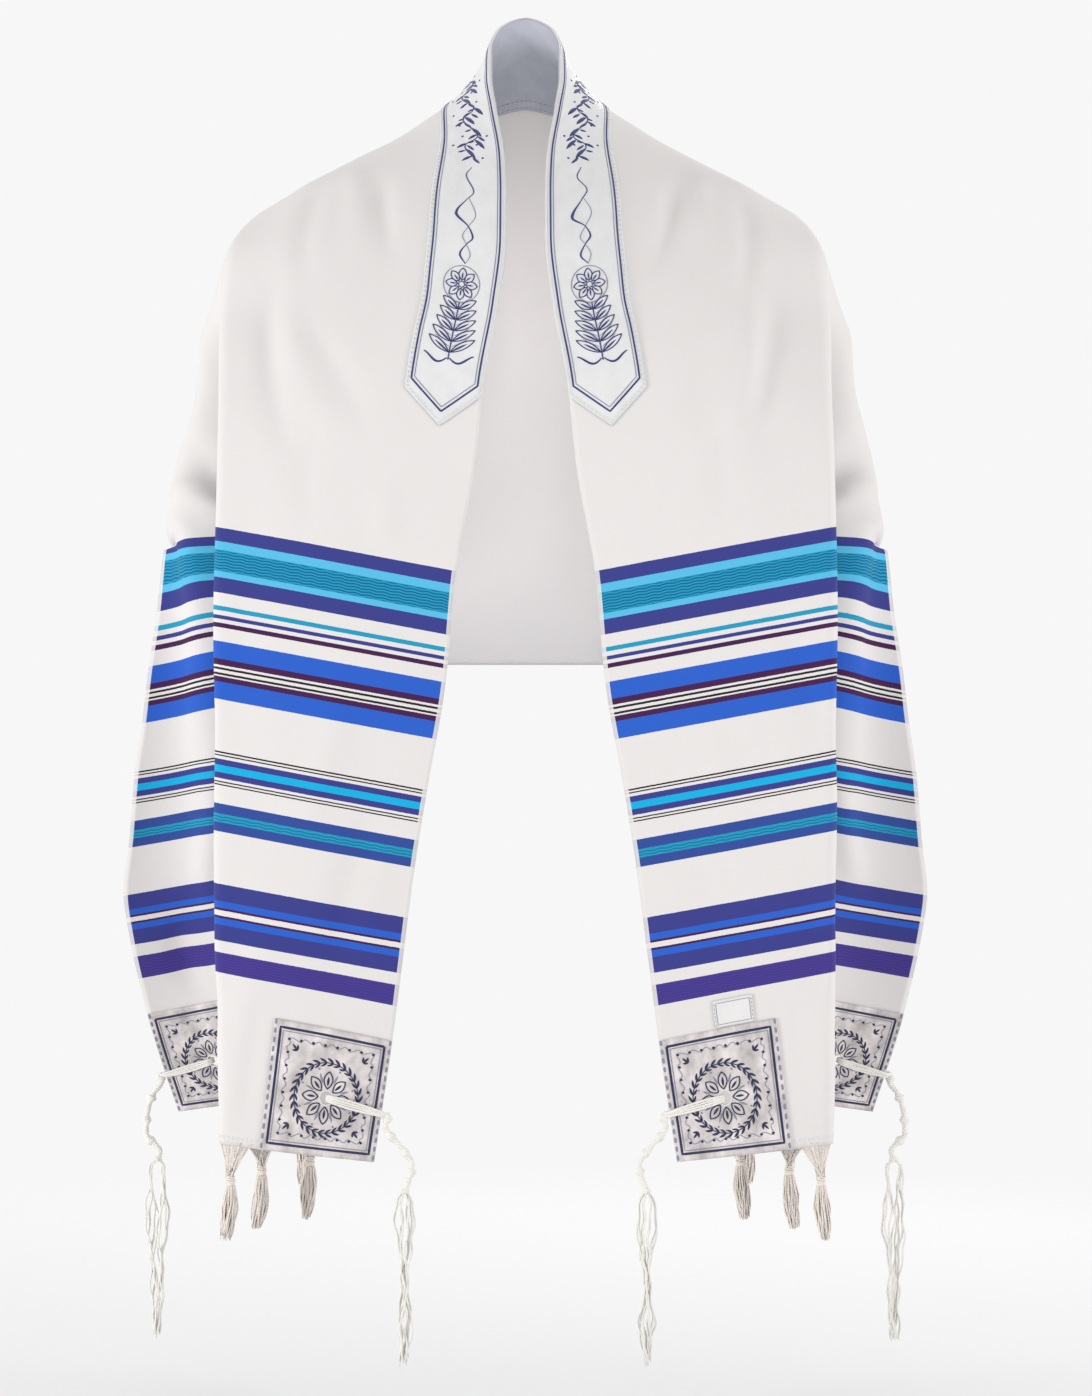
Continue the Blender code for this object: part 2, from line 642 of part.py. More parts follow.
def add_eyelet(name, place, normal, targets, cutters):
    """A round hole through the sheet and the patch on it."""
    mesh = bpy.data.meshes.new(name)
    edit = bmesh.new()
    bmesh.ops.create_cone(edit, cap_ends=True, segments=12, radius1=EYELET_RADIUS,
                          radius2=EYELET_RADIUS, depth=0.012)
    edit.to_mesh(mesh)
    edit.free()
    cutter = bpy.data.objects.new(name, mesh)
    from_z = np.array([0.0, 0.0, 1.0])
    cutter.rotation_mode = "AXIS_ANGLE"
    axis = np.cross(from_z, normal)
    cutter.rotation_axis_angle = (math.acos(float(np.clip(normal[2], -1.0, 1.0))), *unit(axis))
    cutter.location = place
    for target in targets:
        add_boolean(target, cutter, "DIFFERENCE", cutters)


def band_end(i, j):
    """Keeps the neckband's rows up to its pointed ends."""
    first, last = row_of(-BAND_HALF_LENGTH), row_of(BAND_HALF_LENGTH)
    row = i + first
    from_end = min(row - first, last - row)
    return abs(j - 2) <= from_end


def build():
    for obj in list(bpy.data.objects):
        bpy.data.objects.remove(obj)
    collection = bpy.data.collections.new("prayer_shawl")
    cutters = bpy.data.collections.new("cutters")
    for item in (collection, cutters):
        bpy.context.scene.collection.children.link(item)
    materials = {name: new_material(name, colour) for name, colour in COLOURS.items()}

    sheet = add_shell("shawl_cloth", SHEET, CLOTH_WALL, materials["cloth"], collection)
    add_panel("neckband", (row_of(-BAND_HALF_LENGTH), row_of(BAND_HALF_LENGTH)), (0, 4),
              BAND_WALL, 1.0, materials["band"], collection, band_end)
    add_panel("neck_lining", (row_of(-LINING_HALF_LENGTH), row_of(LINING_HALF_LENGTH)), (0, 5),
              LINING_WALL, -1.0, materials["lining"], collection)

    last = SHEET.shape[1] - 1
    patches = {}
    for sign, hand in ((1.0, "left"), (-1.0, "right")):
        rows = sorted((row_of(sign * (HALF_LENGTH - PATCH_SIDE)), row_of(sign * HALF_LENGTH)))
        patches["front", hand] = add_panel("corner_patch_front_" + hand, rows, (0, 6), PATCH_WALL,
                                           1.0, materials["patch"], collection)
        patches["side", hand] = add_panel("corner_patch_side_" + hand, rows, (last - 4, last),
                                          PATCH_WALL, 1.0, materials["patch"], collection)
        for place, t, edge_t, shape, drop in (
                ("front", EYELET_IN, 0.0, FRONT_CHAIN, FRONT_STRING_LENGTH),
                ("side", WIDTH - EYELET_IN, WIDTH, SIDE_CHAIN, SIDE_STRING_LENGTH)):
            name = "corner_strings_%s_%s" % (place, hand)
            eye, normal = add_corner_strings(name, sign, t, edge_t, shape, drop,
                                             materials["strings"], collection, cutters)
            add_eyelet("eyelet_%s_%s" % (place, hand), eye, normal,
                       (sheet, patches[place, hand]), cutters)
        for k, t in enumerate(TASSEL_T):
            add_tassel("hem_tassel_%s_%d" % (hand, k + 1), sign, t, materials["tassels"],
                       collection, cutters)

    label_s = -np.linspace(HALF_LENGTH - PATCH_SIDE - 0.0008 - LABEL_LENGTH,
                           HALF_LENGTH - PATCH_SIDE - 0.0008, 3)[::-1]
    label_t = np.linspace(*LABEL_T, 3)
    grid = sheet_points(label_s, label_t)
    lift = 0.5 * CLOTH_WALL + SEAM_GAP + 0.5 * LABEL_WALL + 0.0002
    add_shell("woven_label", grid + lift * grid_normals(grid), LABEL_WALL, materials["label"], collection)


build()
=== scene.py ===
"""Looks of a striped prayer shawl hung over the shoulders.

The cloth is one sheet with its own two coordinates: s runs along its length from the middle of
the back, and t across its width from the neck edge, both in metres of flat cloth. Rails give the
hung sheet's place in space, creases are added along its normals, and every sewn, embroidered or
knotted piece is worked out in s and t and then laid on that sheet.
"""
import math

import bpy
import numpy as np
from bpy.props import FloatProperty, FloatVectorProperty, IntProperty, PointerProperty
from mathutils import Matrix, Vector


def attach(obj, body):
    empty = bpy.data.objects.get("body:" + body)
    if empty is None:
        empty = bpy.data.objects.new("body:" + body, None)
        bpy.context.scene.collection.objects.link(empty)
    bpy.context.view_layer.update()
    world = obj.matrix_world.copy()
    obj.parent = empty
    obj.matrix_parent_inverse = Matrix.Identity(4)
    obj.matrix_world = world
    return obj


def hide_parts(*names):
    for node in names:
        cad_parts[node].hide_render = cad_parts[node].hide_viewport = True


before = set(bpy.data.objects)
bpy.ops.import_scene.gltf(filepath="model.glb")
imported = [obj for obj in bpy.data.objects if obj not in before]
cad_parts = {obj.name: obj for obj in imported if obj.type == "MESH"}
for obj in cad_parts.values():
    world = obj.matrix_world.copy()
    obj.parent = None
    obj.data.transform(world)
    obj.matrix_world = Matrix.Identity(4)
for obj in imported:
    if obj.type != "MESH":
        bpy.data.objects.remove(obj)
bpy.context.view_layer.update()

bl_info = {
    "name": "Striped prayer shawl",
    "version": (1, 0, 0),
    "blender": (4, 5, 0),
    "location": "3D View > Sidebar > Shawl",
    "description": "Makes a striped prayer shawl with its neckband, patches, strings and tassels",
    "category": "Add Mesh",
}

# Sizes of the flat cloth and of what is sewn on it, as in the solid model
HALF_LENGTH = 0.915
WIDTH = 0.510
BAND_WIDTH = 0.057
BAND_HALF_LENGTH = 0.385
BAND_POINT = 0.027
LINING_HALF_LENGTH = 0.100
LINING_DROP = 0.072
PATCH_SIDE = 0.088
LABEL_T = (0.0428, 0.072)
LABEL_LENGTH = 0.020
FOLD_GAP = 0.016
FOLD_LEAD = 0.016
FLUTE_DEPTH = 0.016
FLUTE_PITCH = 0.135
EYELET_IN = 0.043
EYELET_UP = 0.040
EYELET_RADIUS = 0.0045
EDGE_UP = 0.035
TASSEL_T = (0.113, 0.168, 0.211, 0.392)
TASSEL_KNOT_DROP = 0.026
TASSEL_LENGTH = 0.068
TASSEL_SPREAD = 0.019

# Sizes of what only this file has: weave, yarn, stitches and embroidery
WEAVE_PITCH = 0.0011
RIB_PITCH = 0.0021
SELVEDGE = 0.0032
YARN_PLIES = 3
YARN_LAY = 0.0042
GOLDEN_ANGLE = 2.39996
SEAM_GAP = 0.0002
LABEL_WALL = 0.0007
STITCH_PITCH = 0.0036
ROSETTE_Y = -0.0225
WREATH_RADIUS = 0.0240
DOT_SQUARE = 0.0315
DOT_PITCH = 0.0097
PATCH_FRAME_WIDTH = 0.0019

# Rails: s, then x, y, z of the rail on the side that is at -X
RAILS = {
    "neck_edge": (
        (0.0, 0.0, -0.025, 0.0658),
        (0.022, -0.0197, -0.029, 0.0568),
        (0.042, -0.0261, -0.036, 0.0405),
        (0.066, -0.0260, -0.047, 0.0195),
        (0.100, -0.0221, -0.066, -0.0075),
        (0.156, -0.0156, -0.097, -0.0502),
        (0.200, -0.0143, -0.122, -0.0832),
        (0.235, -0.0142, -0.142, -0.1144),
        (0.285, -0.0199, -0.162, -0.1650),
        (0.345, -0.0300, -0.175, -0.2204),
        (0.410, -0.0365, -0.183, -0.2822),
        (0.4854, -0.0501, -0.185, -0.3598),
        (0.5665, -0.0576, -0.185, -0.4400),
        (0.6435, -0.0709, -0.185, -0.5160),
        (0.699, -0.0796, -0.185, -0.5710),
        (0.7747, -0.0893, -0.185, -0.6458),
        (0.8255, -0.0958, -0.185, -0.6955),
        (0.915, -0.1091, -0.185, -0.7840),
    ),
    "collar_line": (
        (0.0, 0.0, 0.0, 0.0000),
        (0.050, -0.0480, 0.002, 0.0170),
        (0.100, -0.0650, -0.028, 0.0020),
        (0.156, -0.0720, -0.061, -0.0280),
        (0.200, -0.0750, -0.094, -0.0640),
        (0.235, -0.0800, -0.120, -0.0990),
        (0.266, -0.0840, -0.139, -0.1330),
        (0.3015, -0.0900, -0.157, -0.1680),
        (0.345, -0.0940, -0.173, -0.2120),
        (0.410, -0.0980, -0.184, -0.2720),
        (0.4854, -0.1080, -0.190, -0.3490),
        (0.5665, -0.1132, -0.190, -0.4298),
        (0.6435, -0.1221, -0.190, -0.5063),
        (0.699, -0.1279, -0.190, -0.5620),
        (0.7747, -0.1343, -0.190, -0.6376),
        (0.8255, -0.1386, -0.190, -0.6861),
        (0.915, -0.1464, -0.190, -0.7797),
    ),
    "shoulder_line": (
        (0.0, 0.0, 0.020, -0.0550),
        (0.050, -0.0510, 0.021, -0.0500),
        (0.100, -0.0950, 0.008, -0.0340),
        (0.156, -0.1290, -0.014, -0.0370),
        (0.200, -0.1480, -0.052, -0.0530),
        (0.235, -0.1560, -0.084, -0.0800),
        (0.266, -0.1600, -0.112, -0.1150),
        (0.3015, -0.1600, -0.137, -0.1590),
        (0.345, -0.1600, -0.160, -0.2050),
        (0.410, -0.1620, -0.176, -0.2620),
        (0.4854, -0.1660, -0.187, -0.3380),
        (0.5665, -0.1688, -0.190, -0.4196),
        (0.6435, -0.1732, -0.190, -0.4967),
        (0.699, -0.1761, -0.190, -0.5530),
        (0.7747, -0.1792, -0.190, -0.6293),
        (0.8255, -0.1813, -0.190, -0.6782),
        (0.915, -0.1837, -0.190, -0.7754),
    ),
    "front_fold": (
        (0.0, 0.0, 0.035, -0.1180),
        (0.050, -0.0500, 0.034, -0.1170),
        (0.100, -0.1020, 0.027, -0.1100),
        (0.156, -0.1560, 0.005, -0.0960),
        (0.200, -0.1960, -0.022, -0.0900),
        (0.235, -0.2150, -0.048, -0.1020),
        (0.266, -0.2239, -0.080, -0.1240),
        (0.3015, -0.2245, -0.105, -0.1580),
        (0.345, -0.2243, -0.135, -0.2000),
        (0.410, -0.2240, -0.160, -0.2520),
        (0.4854, -0.2243, -0.176, -0.3273),
        (0.5665, -0.2245, -0.182, -0.4094),
        (0.6435, -0.2245, -0.185, -0.4871),
        (0.699, -0.2245, -0.185, -0.5440),
        (0.7747, -0.2240, -0.185, -0.6214),
        (0.8255, -0.2232, -0.185, -0.6710),
        (0.915, -0.2210, -0.185, -0.7711),
    ),
    "side_line": (
        (0.0, 0.0, 0.049, -0.2300),
        (0.050, -0.0500, 0.049, -0.2290),
        (0.100, -0.1000, 0.045, -0.2260),
        (0.156, -0.1530, 0.034, -0.2170),
        (0.200, -0.1940, 0.015, -0.2060),
        (0.235, -0.2280, -0.010, -0.1900),
        (0.266, -0.2500, -0.034, -0.1820),
        (0.3015, -0.2545, -0.060, -0.2120),
        (0.345, -0.2535, -0.086, -0.2560),
        (0.410, -0.2570, -0.110, -0.2990),
        (0.4854, -0.2450, -0.124, -0.3320),
        (0.5665, -0.2160, -0.112, -0.4140),
        (0.6435, -0.1990, -0.092, -0.4880),
        (0.699, -0.1860, -0.078, -0.5406),
        (0.7747, -0.1680, -0.058, -0.6120),
        (0.8255, -0.1540, -0.043, -0.6610),
        (0.915, -0.1320, -0.020, -0.7460),
    ),
    "long_hem": (
        (0.0, 0.0, 0.045, -0.4244),
        (0.050, -0.0420, 0.045, -0.4244),
        (0.100, -0.0850, 0.044, -0.4240),
        (0.156, -0.1320, 0.041, -0.4200),
        (0.200, -0.1660, 0.034, -0.4150),
        (0.266, -0.2160, 0.012, -0.4020),
        (0.345, -0.2540, -0.020, -0.3920),
        (0.410, -0.2655, -0.052, -0.3720),
        (0.4854, -0.2690, -0.078, -0.3400),
        (0.5308, -0.2745, -0.083, -0.3860),
        (0.5665, -0.2815, -0.075, -0.4280),
        (0.6074, -0.2872, -0.065, -0.4695),
        (0.6435, -0.2934, -0.055, -0.5050),
        (0.699, -0.2998, -0.038, -0.5620),
        (0.7352, -0.3047, -0.026, -0.5980),
        (0.7747, -0.3008, -0.012, -0.6350),
        (0.8255, -0.2901, 0.008, -0.6905),
        (0.915, -0.2681, 0.036, -0.7690),
    ),
}

# The pleat behind each front, by s: its depth, and the swell of the side panel beyond it
PLEAT = (
    (0.0, 0.000, 0.000),
    (0.266, 0.000, 0.000),
    (0.3015, 0.018, 0.002),
    (0.345, 0.045, 0.004),
    (0.410, 0.085, 0.008),
    (0.4854, 0.112, 0.004),
    (0.5665, 0.112, 0.008),
    (0.699, 0.115, 0.010),
    (0.7747, 0.114, 0.010),
    (0.915, 0.107, 0.008),
)

# Cells of the cloth's grid: runs along half its length and across its width
ROW_RUNS = ((0.0, 0.10, 30), (0.10, 0.42, 52), (0.42, 0.827, 62), (0.827, 0.915, 24))
COLUMN_RUNS = ((0.0, 0.088, 26), (0.088, 0.160, 17), (0.160, 0.350, 64), (0.350, 0.510, 36))

# Creases: s and t where each starts and ends, its rise (troughs are negative), half width and bow
CREASES = (
    (0.290, 0.176, 0.435, 0.128, -0.0024, 0.0110, 0.006),
    (0.300, 0.158, 0.405, 0.104, 0.0018, 0.0120, 0.004),
    (0.315, 0.140, 0.400, 0.078, -0.0017, 0.0100, -0.005),
    (0.205, 0.096, 0.262, 0.084, -0.0020, 0.0080, 0.002),
    (0.195, 0.120, 0.270, 0.112, 0.0016, 0.0100, -0.003),
    (0.215, 0.142, 0.290, 0.150, -0.0016, 0.0090, 0.004),
    (0.395, 0.118, 0.475, 0.112, -0.0014, 0.0090, 0.003),
    (0.430, 0.060, 0.478, 0.052, 0.0012, 0.0100, 0.002),
    (0.505, 0.150, 0.640, 0.146, -0.0015, 0.0130, 0.007),
    (0.560, 0.080, 0.700, 0.092, 0.0016, 0.0150, -0.008),
    (0.660, 0.034, 0.790, 0.046, -0.0015, 0.0120, 0.005),
    (0.735, 0.126, 0.850, 0.140, -0.0016, 0.0120, -0.006),
    (0.800, 0.108, 0.905, 0.112, 0.0014, 0.0100, 0.003),
    (0.845, 0.158, 0.910, 0.166, -0.0018, 0.0090, 0.003),
    (0.335, 0.355, 0.470, 0.392, -0.0030, 0.0140, 0.006),
    (0.350, 0.400, 0.480, 0.430, 0.0026, 0.0140, -0.006),
    (0.600, 0.392, 0.705, 0.404, -0.0028, 0.0100, 0.005),
    (0.625, 0.436, 0.760, 0.442, 0.0020, 0.0140, -0.006),
    (0.725, 0.388, 0.820, 0.396, -0.0030, 0.0110, 0.005),
    (0.760, 0.470, 0.826, 0.462, -0.0018, 0.0120, 0.004),
    (0.060, 0.110, 0.150, 0.300, -0.0030, 0.0150, 0.010),
    (0.085, 0.090, 0.205, 0.235, 0.0024, 0.0160, -0.010),
    (0.010, 0.150, 0.022, 0.330, -0.0022, 0.0170, 0.006),
    (0.170, 0.260, 0.255, 0.420, -0.0026, 0.0150, 0.010),
    (-0.286, 0.172, -0.420, 0.136, -0.0022, 0.0120, 0.005),
    (-0.305, 0.150, -0.418, 0.098, 0.0020, 0.0110, -0.004),
    (-0.322, 0.130, -0.392, 0.082, -0.0014, 0.0100, 0.004),
    (-0.210, 0.100, -0.270, 0.080, -0.0022, 0.0090, -0.003),
    (-0.200, 0.124, -0.262, 0.118, 0.0014, 0.0100, 0.003),
    (-0.225, 0.150, -0.300, 0.146, -0.0018, 0.0090, -0.004),
    (-0.385, 0.106, -0.468, 0.096, -0.0014, 0.0100, -0.003),
    (-0.520, 0.136, -0.660, 0.152, -0.0017, 0.0130, -0.006),
    (-0.550, 0.070, -0.690, 0.078, 0.0014, 0.0150, 0.007),
    (-0.675, 0.040, -0.800, 0.056, -0.0017, 0.0120, -0.005),
    (-0.720, 0.134, -0.860, 0.128, -0.0015, 0.0120, 0.006),
    (-0.810, 0.120, -0.900, 0.114, 0.0015, 0.0100, -0.003),
    (-0.850, 0.150, -0.908, 0.164, -0.0017, 0.0090, -0.003),
    (-0.330, 0.350, -0.465, 0.396, -0.0028, 0.0140, -0.006),
    (-0.355, 0.395, -0.470, 0.425, 0.0024, 0.0150, 0.005),
    (-0.590, 0.398, -0.715, 0.396, -0.0026, 0.0110, -0.004),
    (-0.640, 0.440, -0.750, 0.452, 0.0022, 0.0130, 0.006),
    (-0.735, 0.384, -0.815, 0.400, -0.0026, 0.0110, -0.005),
    (-0.070, 0.120, -0.165, 0.310, -0.0028, 0.0150, -0.010),
    (-0.090, 0.095, -0.195, 0.215, 0.0022, 0.0150, 0.010),
    (-0.160, 0.270, -0.245, 0.430, -0.0028, 0.0150, -0.009),
    (-0.035, 0.250, -0.048, 0.480, 0.0022, 0.0180, 0.005),
)

# Stripes of one end from the shoulder down: thread, and where each starts and ends above the hem
STRIPES = (
    ("navy", 0.4302, 0.4207),
    ("sky", 0.4207, 0.4145),
    ("teal", 0.4145, 0.3995),
    ("sky", 0.3995, 0.3947),
    ("navy", 0.3947, 0.3841),
    ("teal", 0.3745, 0.3714),
    ("navy", 0.3681, 0.3656),
    ("plum", 0.3626, 0.3595),
    ("royal", 0.3494, 0.3367),
    ("plum", 0.3367, 0.3325),
    ("black", 0.3307, 0.3295),
    ("black", 0.3269, 0.3257),
    ("plum", 0.3245, 0.3205),
    ("royal", 0.3205, 0.3077),
    ("black", 0.2711, 0.2698),
    ("black", 0.2686, 0.2677),
    ("navy", 0.2657, 0.2615),
    ("cyan", 0.2615, 0.2564),
    ("navy", 0.2564, 0.2520),
    ("black", 0.2501, 0.2492),
    ("black", 0.2482, 0.2471),
    ("blue", 0.2340, 0.2271),
    ("teal", 0.2271, 0.2214),
    ("blue", 0.2214, 0.2146),
    ("navy", 0.1777, 0.1657),
    ("royal", 0.1657, 0.1611),
    ("plum", 0.1611, 0.1594),
    ("plum", 0.1554, 0.1537),
    ("royal", 0.1537, 0.1490),
    ("navy", 0.1490, 0.1374),
    ("purple", 0.1285, 0.1134),
)
# Ribbed stripes: where each starts and ends above the hem, and how dark its ribs are
RIBBED = ((0.1134, 0.1285, 0.30), (0.2214, 0.2271, 0.75), (0.3995, 0.4145, 1.0))
RAMP_RANGES = ((0.10, 0.24), (0.24, 0.30), (0.30, 0.44))

# The zigzag on each side of the neckband: s, how far right of the middle, and thread width
ZIGZAG_BOLD = (
    (0.1780, 0.0008, 0.0006),
    (0.1870, -0.0030, 0.0010),
    (0.2025, 0.0038, 0.0010),
    (0.2100, -0.0008, 0.0008),
    (0.2235, -0.0085, 0.0022),
    (0.2325, 0.0010, 0.0010),
    (0.2405, 0.0045, 0.0015),
    (0.2460, 0.0002, 0.0009),
    (0.2535, -0.0038, 0.0015),
    (0.2600, 0.0010, 0.0007),
)
ZIGZAG_FINE = (
    (0.2080, 0.0002, 0.0005),
    (0.2225, 0.0060, 0.0008),
    (0.2325, 0.0010, 0.0006),
    (0.2405, -0.0030, 0.0008),
    (0.2460, 0.0002, 0.0006),
    (0.2535, 0.0037, 0.0008),
    (0.2600, 0.0010, 0.0005),
)

# Centre line of each kind of knotted chain below the cloth's edge: towards the middle, and down
CHAINS = {
    "front": ((0.005, 0.002), (0.003, 0.009), (0.013, 0.023), (0.022, 0.037), (0.0165, 0.0576)),
    "side": ((-0.0036, 0.006), (-0.0097, 0.0153), (-0.0145, 0.030), (-0.0155, 0.046),
             (-0.0050, 0.060), (-0.0070, 0.068)),
}

# Loose strings by the share of their length: spread of the lanes, and gap between two groups
LOOSE = {
    "front": ((0.0, 0.05, 0.0), (0.05, 0.75, 0.0), (0.16, 1.0, 0.0), (0.30, 0.80, 0.0),
              (0.44, 0.35, 0.0), (0.56, 0.22, 0.0), (0.66, 0.45, 0.0), (0.77, 0.85, 0.0),
              (0.87, 0.45, 0.0), (1.0, 0.30, 0.0)),
    "side": ((0.0, 0.05, 0.0), (0.04, 0.15, 1.0), (0.16, 0.22, 1.0), (0.28, 0.55, 0.9),
             (0.40, 0.60, 0.85), (0.52, 0.35, 0.75), (0.64, 0.25, 0.6), (0.78, 0.28, 0.35),
             (0.90, 0.40, 0.15), (1.0, 0.42, 0.1)),
}
STRING_LENGTH = {"front": 0.127, "side": 0.141}

# Light that reaches the front of the cloth, as a multiple of what white paper would show as white
STUDIO_LIGHT = 1.40
BACKGROUND = 0.931
FLOOR_HEIGHT = -0.985
FLOOR_REACH = 1.7

# A faint light in the front opening, aimed at the inside of the back
GLOW_SIZE = (0.07, 0.40)
GLOW_POWER = 0.53
GLOW_PLACE = (0.0, -0.145, -0.28)
GLOW_TARGET = (0.0, 0.843, -0.432)

# The camera, in front of the shawl and level with its middle
LENS = 107.45
LENS_SHIFT = 20.5 / 1396.0
CAMERA_PLACE = (0.0, -3.185, -0.45)

# Studio lights, all aimed at the shawl's middle: name, place, diameter, power in watts
MIDDLE = (0.0, -0.08, -0.4)
LIGHTS = (
    ("key", (-3.2, -1.7, -0.8), 0.9, 88.0),
    ("fill", (3.1, -1.8, -0.9), 2.0, 72.0),
    ("back", (0.6, 2.8, 1.0), 2.0, 42.0),
    ("over", (0.0, -0.8, 2.0), 1.5, 4.0),
)

# Sign of s on each half of the sheet, and the half's side in the photo
SIDES = ((1.0, "left"), (-1.0, "right"))
RIGHT, BACK, UP = np.eye(3)

# What shared keeps for the operators
SHARED = {}


def from_srgb(red, green, blue):
    """Reflectance of a colour given as it looks on screen, 0 to 255, in the studio's light."""
    values = np.array([red, green, blue]) / 255.0
    linear = np.where(values <= 0.04045, values / 12.92, ((values + 0.055) / 1.055) ** 2.4)
    return tuple(float(v) for v in linear / STUDIO_LIGHT)


def size_property(name, description, metres):
    """A length that a user can change."""
    return FloatProperty(name=name, description=description, default=metres, unit="LENGTH")


def colour_property(name, description, red, green, blue):
    """A colour that a user can change, its default given as it looks on screen, 0 to 255."""
    return FloatVectorProperty(name=name, description=description, subtype="COLOR", size=3,
                               min=0.0, max=1.0, default=from_srgb(red, green, blue))


class ShawlSizes(bpy.types.PropertyGroup):
    cloth_wall: size_property("Cloth", "Thickness of the woven cloth", 0.0010)
    panel_wall: size_property("Panels", "Thickness of neckband, lining and patches", 0.0009)
    crease_factor: FloatProperty(
        name="Creases", description="Factor on the rise of every crease", default=1.5, min=0.0)
    outline_width: size_property("Outline", "Width of the neckband's embroidered frame", 0.0014)
    stitch_length: size_property("Stitch", "Length of one seam stitch", 0.0024)
    string_radius: size_property("Strings", "Radius of a corner string", 0.00085)
    tassel_strands: IntProperty(
        name="Tassel strands", description="Strands in each hem tassel", default=60, min=8)
    web_threads: IntProperty(
        name="Tassel web", description="Threads drawn out of the hem for each tassel",
        default=38, min=8)


class ShawlColours(bpy.types.PropertyGroup):
    cloth: colour_property("Cloth", "The undyed wool of the sheet", 238, 234, 232)
    navy: colour_property("Navy", "Wide dark stripes", 59, 63, 143)
    blue: colour_property("Blue", "Stripes beside the narrow teal one", 50, 78, 158)
    royal: colour_property("Royal", "Bright blue stripes", 42, 98, 208)
    sky: colour_property("Sky", "Pale stripes beside the teal one", 92, 195, 236)
    cyan: colour_property("Cyan", "The middle stripe between fine lines", 6, 180, 232)
    teal: colour_property("Teal", "Ribbed stripes", 30, 160, 198)
    plum: colour_property("Plum", "Narrow dark purple stripes", 70, 25, 79)
    purple: colour_property("Purple", "The lowest stripe", 75, 58, 148)
    black: colour_property("Fine lines", "The finest lines", 34, 32, 40)
    band: colour_property("Neckband", "Satin of the neckband", 236, 236, 237)
    lining: colour_property("Lining", "Satin inside the neck", 188, 191, 202)
    patch: colour_property("Patches", "Silver satin of the corner patches", 244, 236, 234)
    label: colour_property("Label", "Woven tab", 238, 237, 236)
    navy_thread: colour_property("Navy thread", "Embroidered outlines and leaves", 42, 52, 122)
    grey_thread: colour_property("Grey thread", "Second lines and scrolls", 148, 151, 172)
    ink_thread: colour_property("Ink thread", "Frames and leaves on the patches", 36, 40, 84)
    white_thread: colour_property("White thread", "Seam stitches", 240, 239, 240)
    strings: colour_property("Strings", "Corner strings", 255, 252, 245)
    tassels: colour_property("Tassels", "Hem tassels", 255, 245, 236)
    floor: colour_property("Floor", "Floor of the stage", 255, 255, 255)


def smooth_step(value, low, high):
    """0 below low, 1 above high, and 3x^2 - 2x^3 between."""
    x = np.clip((np.asarray(value, float) - low) / (high - low), 0.0, 1.0)
    return x * x * (3.0 - 2.0 * x)


def unit(vectors):
    """The vectors divided by their own lengths."""
    return vectors / np.maximum(np.linalg.norm(vectors, axis=-1, keepdims=True), 1e-9)


def toward(start, goal, step):
    """The point a step from start on the way to goal."""
    return start + unit(goal - start) * step


def turns(count):
    """Angles shared out evenly round a circle."""
    return np.arange(count) * (math.tau / count)


def polar(radius, angle, y=0.0):
    """Both coordinates at a radius and angle round the point y above the middle."""
    return radius * np.cos(angle), radius * np.sin(angle) + y


def run_lengths(points):
    """Distance of each point from the start of its own line of points."""
    steps = np.linalg.norm(np.diff(points, axis=-2), axis=-1)
    return np.concatenate([np.zeros((*steps.shape[:-1], 1)), np.cumsum(steps, axis=-1)], axis=-1)


def monotone_curve(knots, values, at):
    """Cubic Hermite curve through the knots with Fritsch and Carlson's slopes: no overshoot."""
    knots = np.asarray(knots, float)
    values = np.asarray(values, float)
    step = np.diff(knots)
    slope = np.diff(values) / step
    inner = np.zeros(len(knots))
    same = slope[:-1] * slope[1:] > 0.0
    w0 = 2.0 * step[1:] + step[:-1]
    w1 = step[1:] + 2.0 * step[:-1]
    safe0 = np.where(same, slope[:-1], 1.0)
    safe1 = np.where(same, slope[1:], 1.0)
    inner[1:-1] = np.where(same, (w0 + w1) / (w0 / safe0 + w1 / safe1), 0.0)
    inner[0] = slope[0]
    inner[-1] = slope[-1]
    at = np.clip(at, knots[0], knots[-1])
    k = np.clip(np.searchsorted(knots, at) - 1, 0, len(step) - 1)
    u = (at - knots[k]) / step[k]
    rise = u * (1.0 - u) ** 2 * inner[k] + u * u * (u - 1.0) * inner[k + 1]
    return ((1.0 + 2.0 * u) * (1.0 - u) ** 2 * values[k]
            + u * u * (3.0 - 2.0 * u) * values[k + 1] + rise * step[k])


def columns_at(table, at):
    """A table's other columns, each a monotone curve over its first, read at these places."""
    table = np.asarray(table, float)
    return np.stack([monotone_curve(table[:, 0], column, at) for column in table[:, 1:].T],
                    axis=-1)


def rail(name, s):
    """Points of a rail at s; the rows are mirrored, so that it crosses the centre smoothly."""
    rows = np.array(RAILS[name])
    return columns_at(np.vstack([rows[:0:-1] * (-1.0, -1.0, 1.0, 1.0), rows]), s)


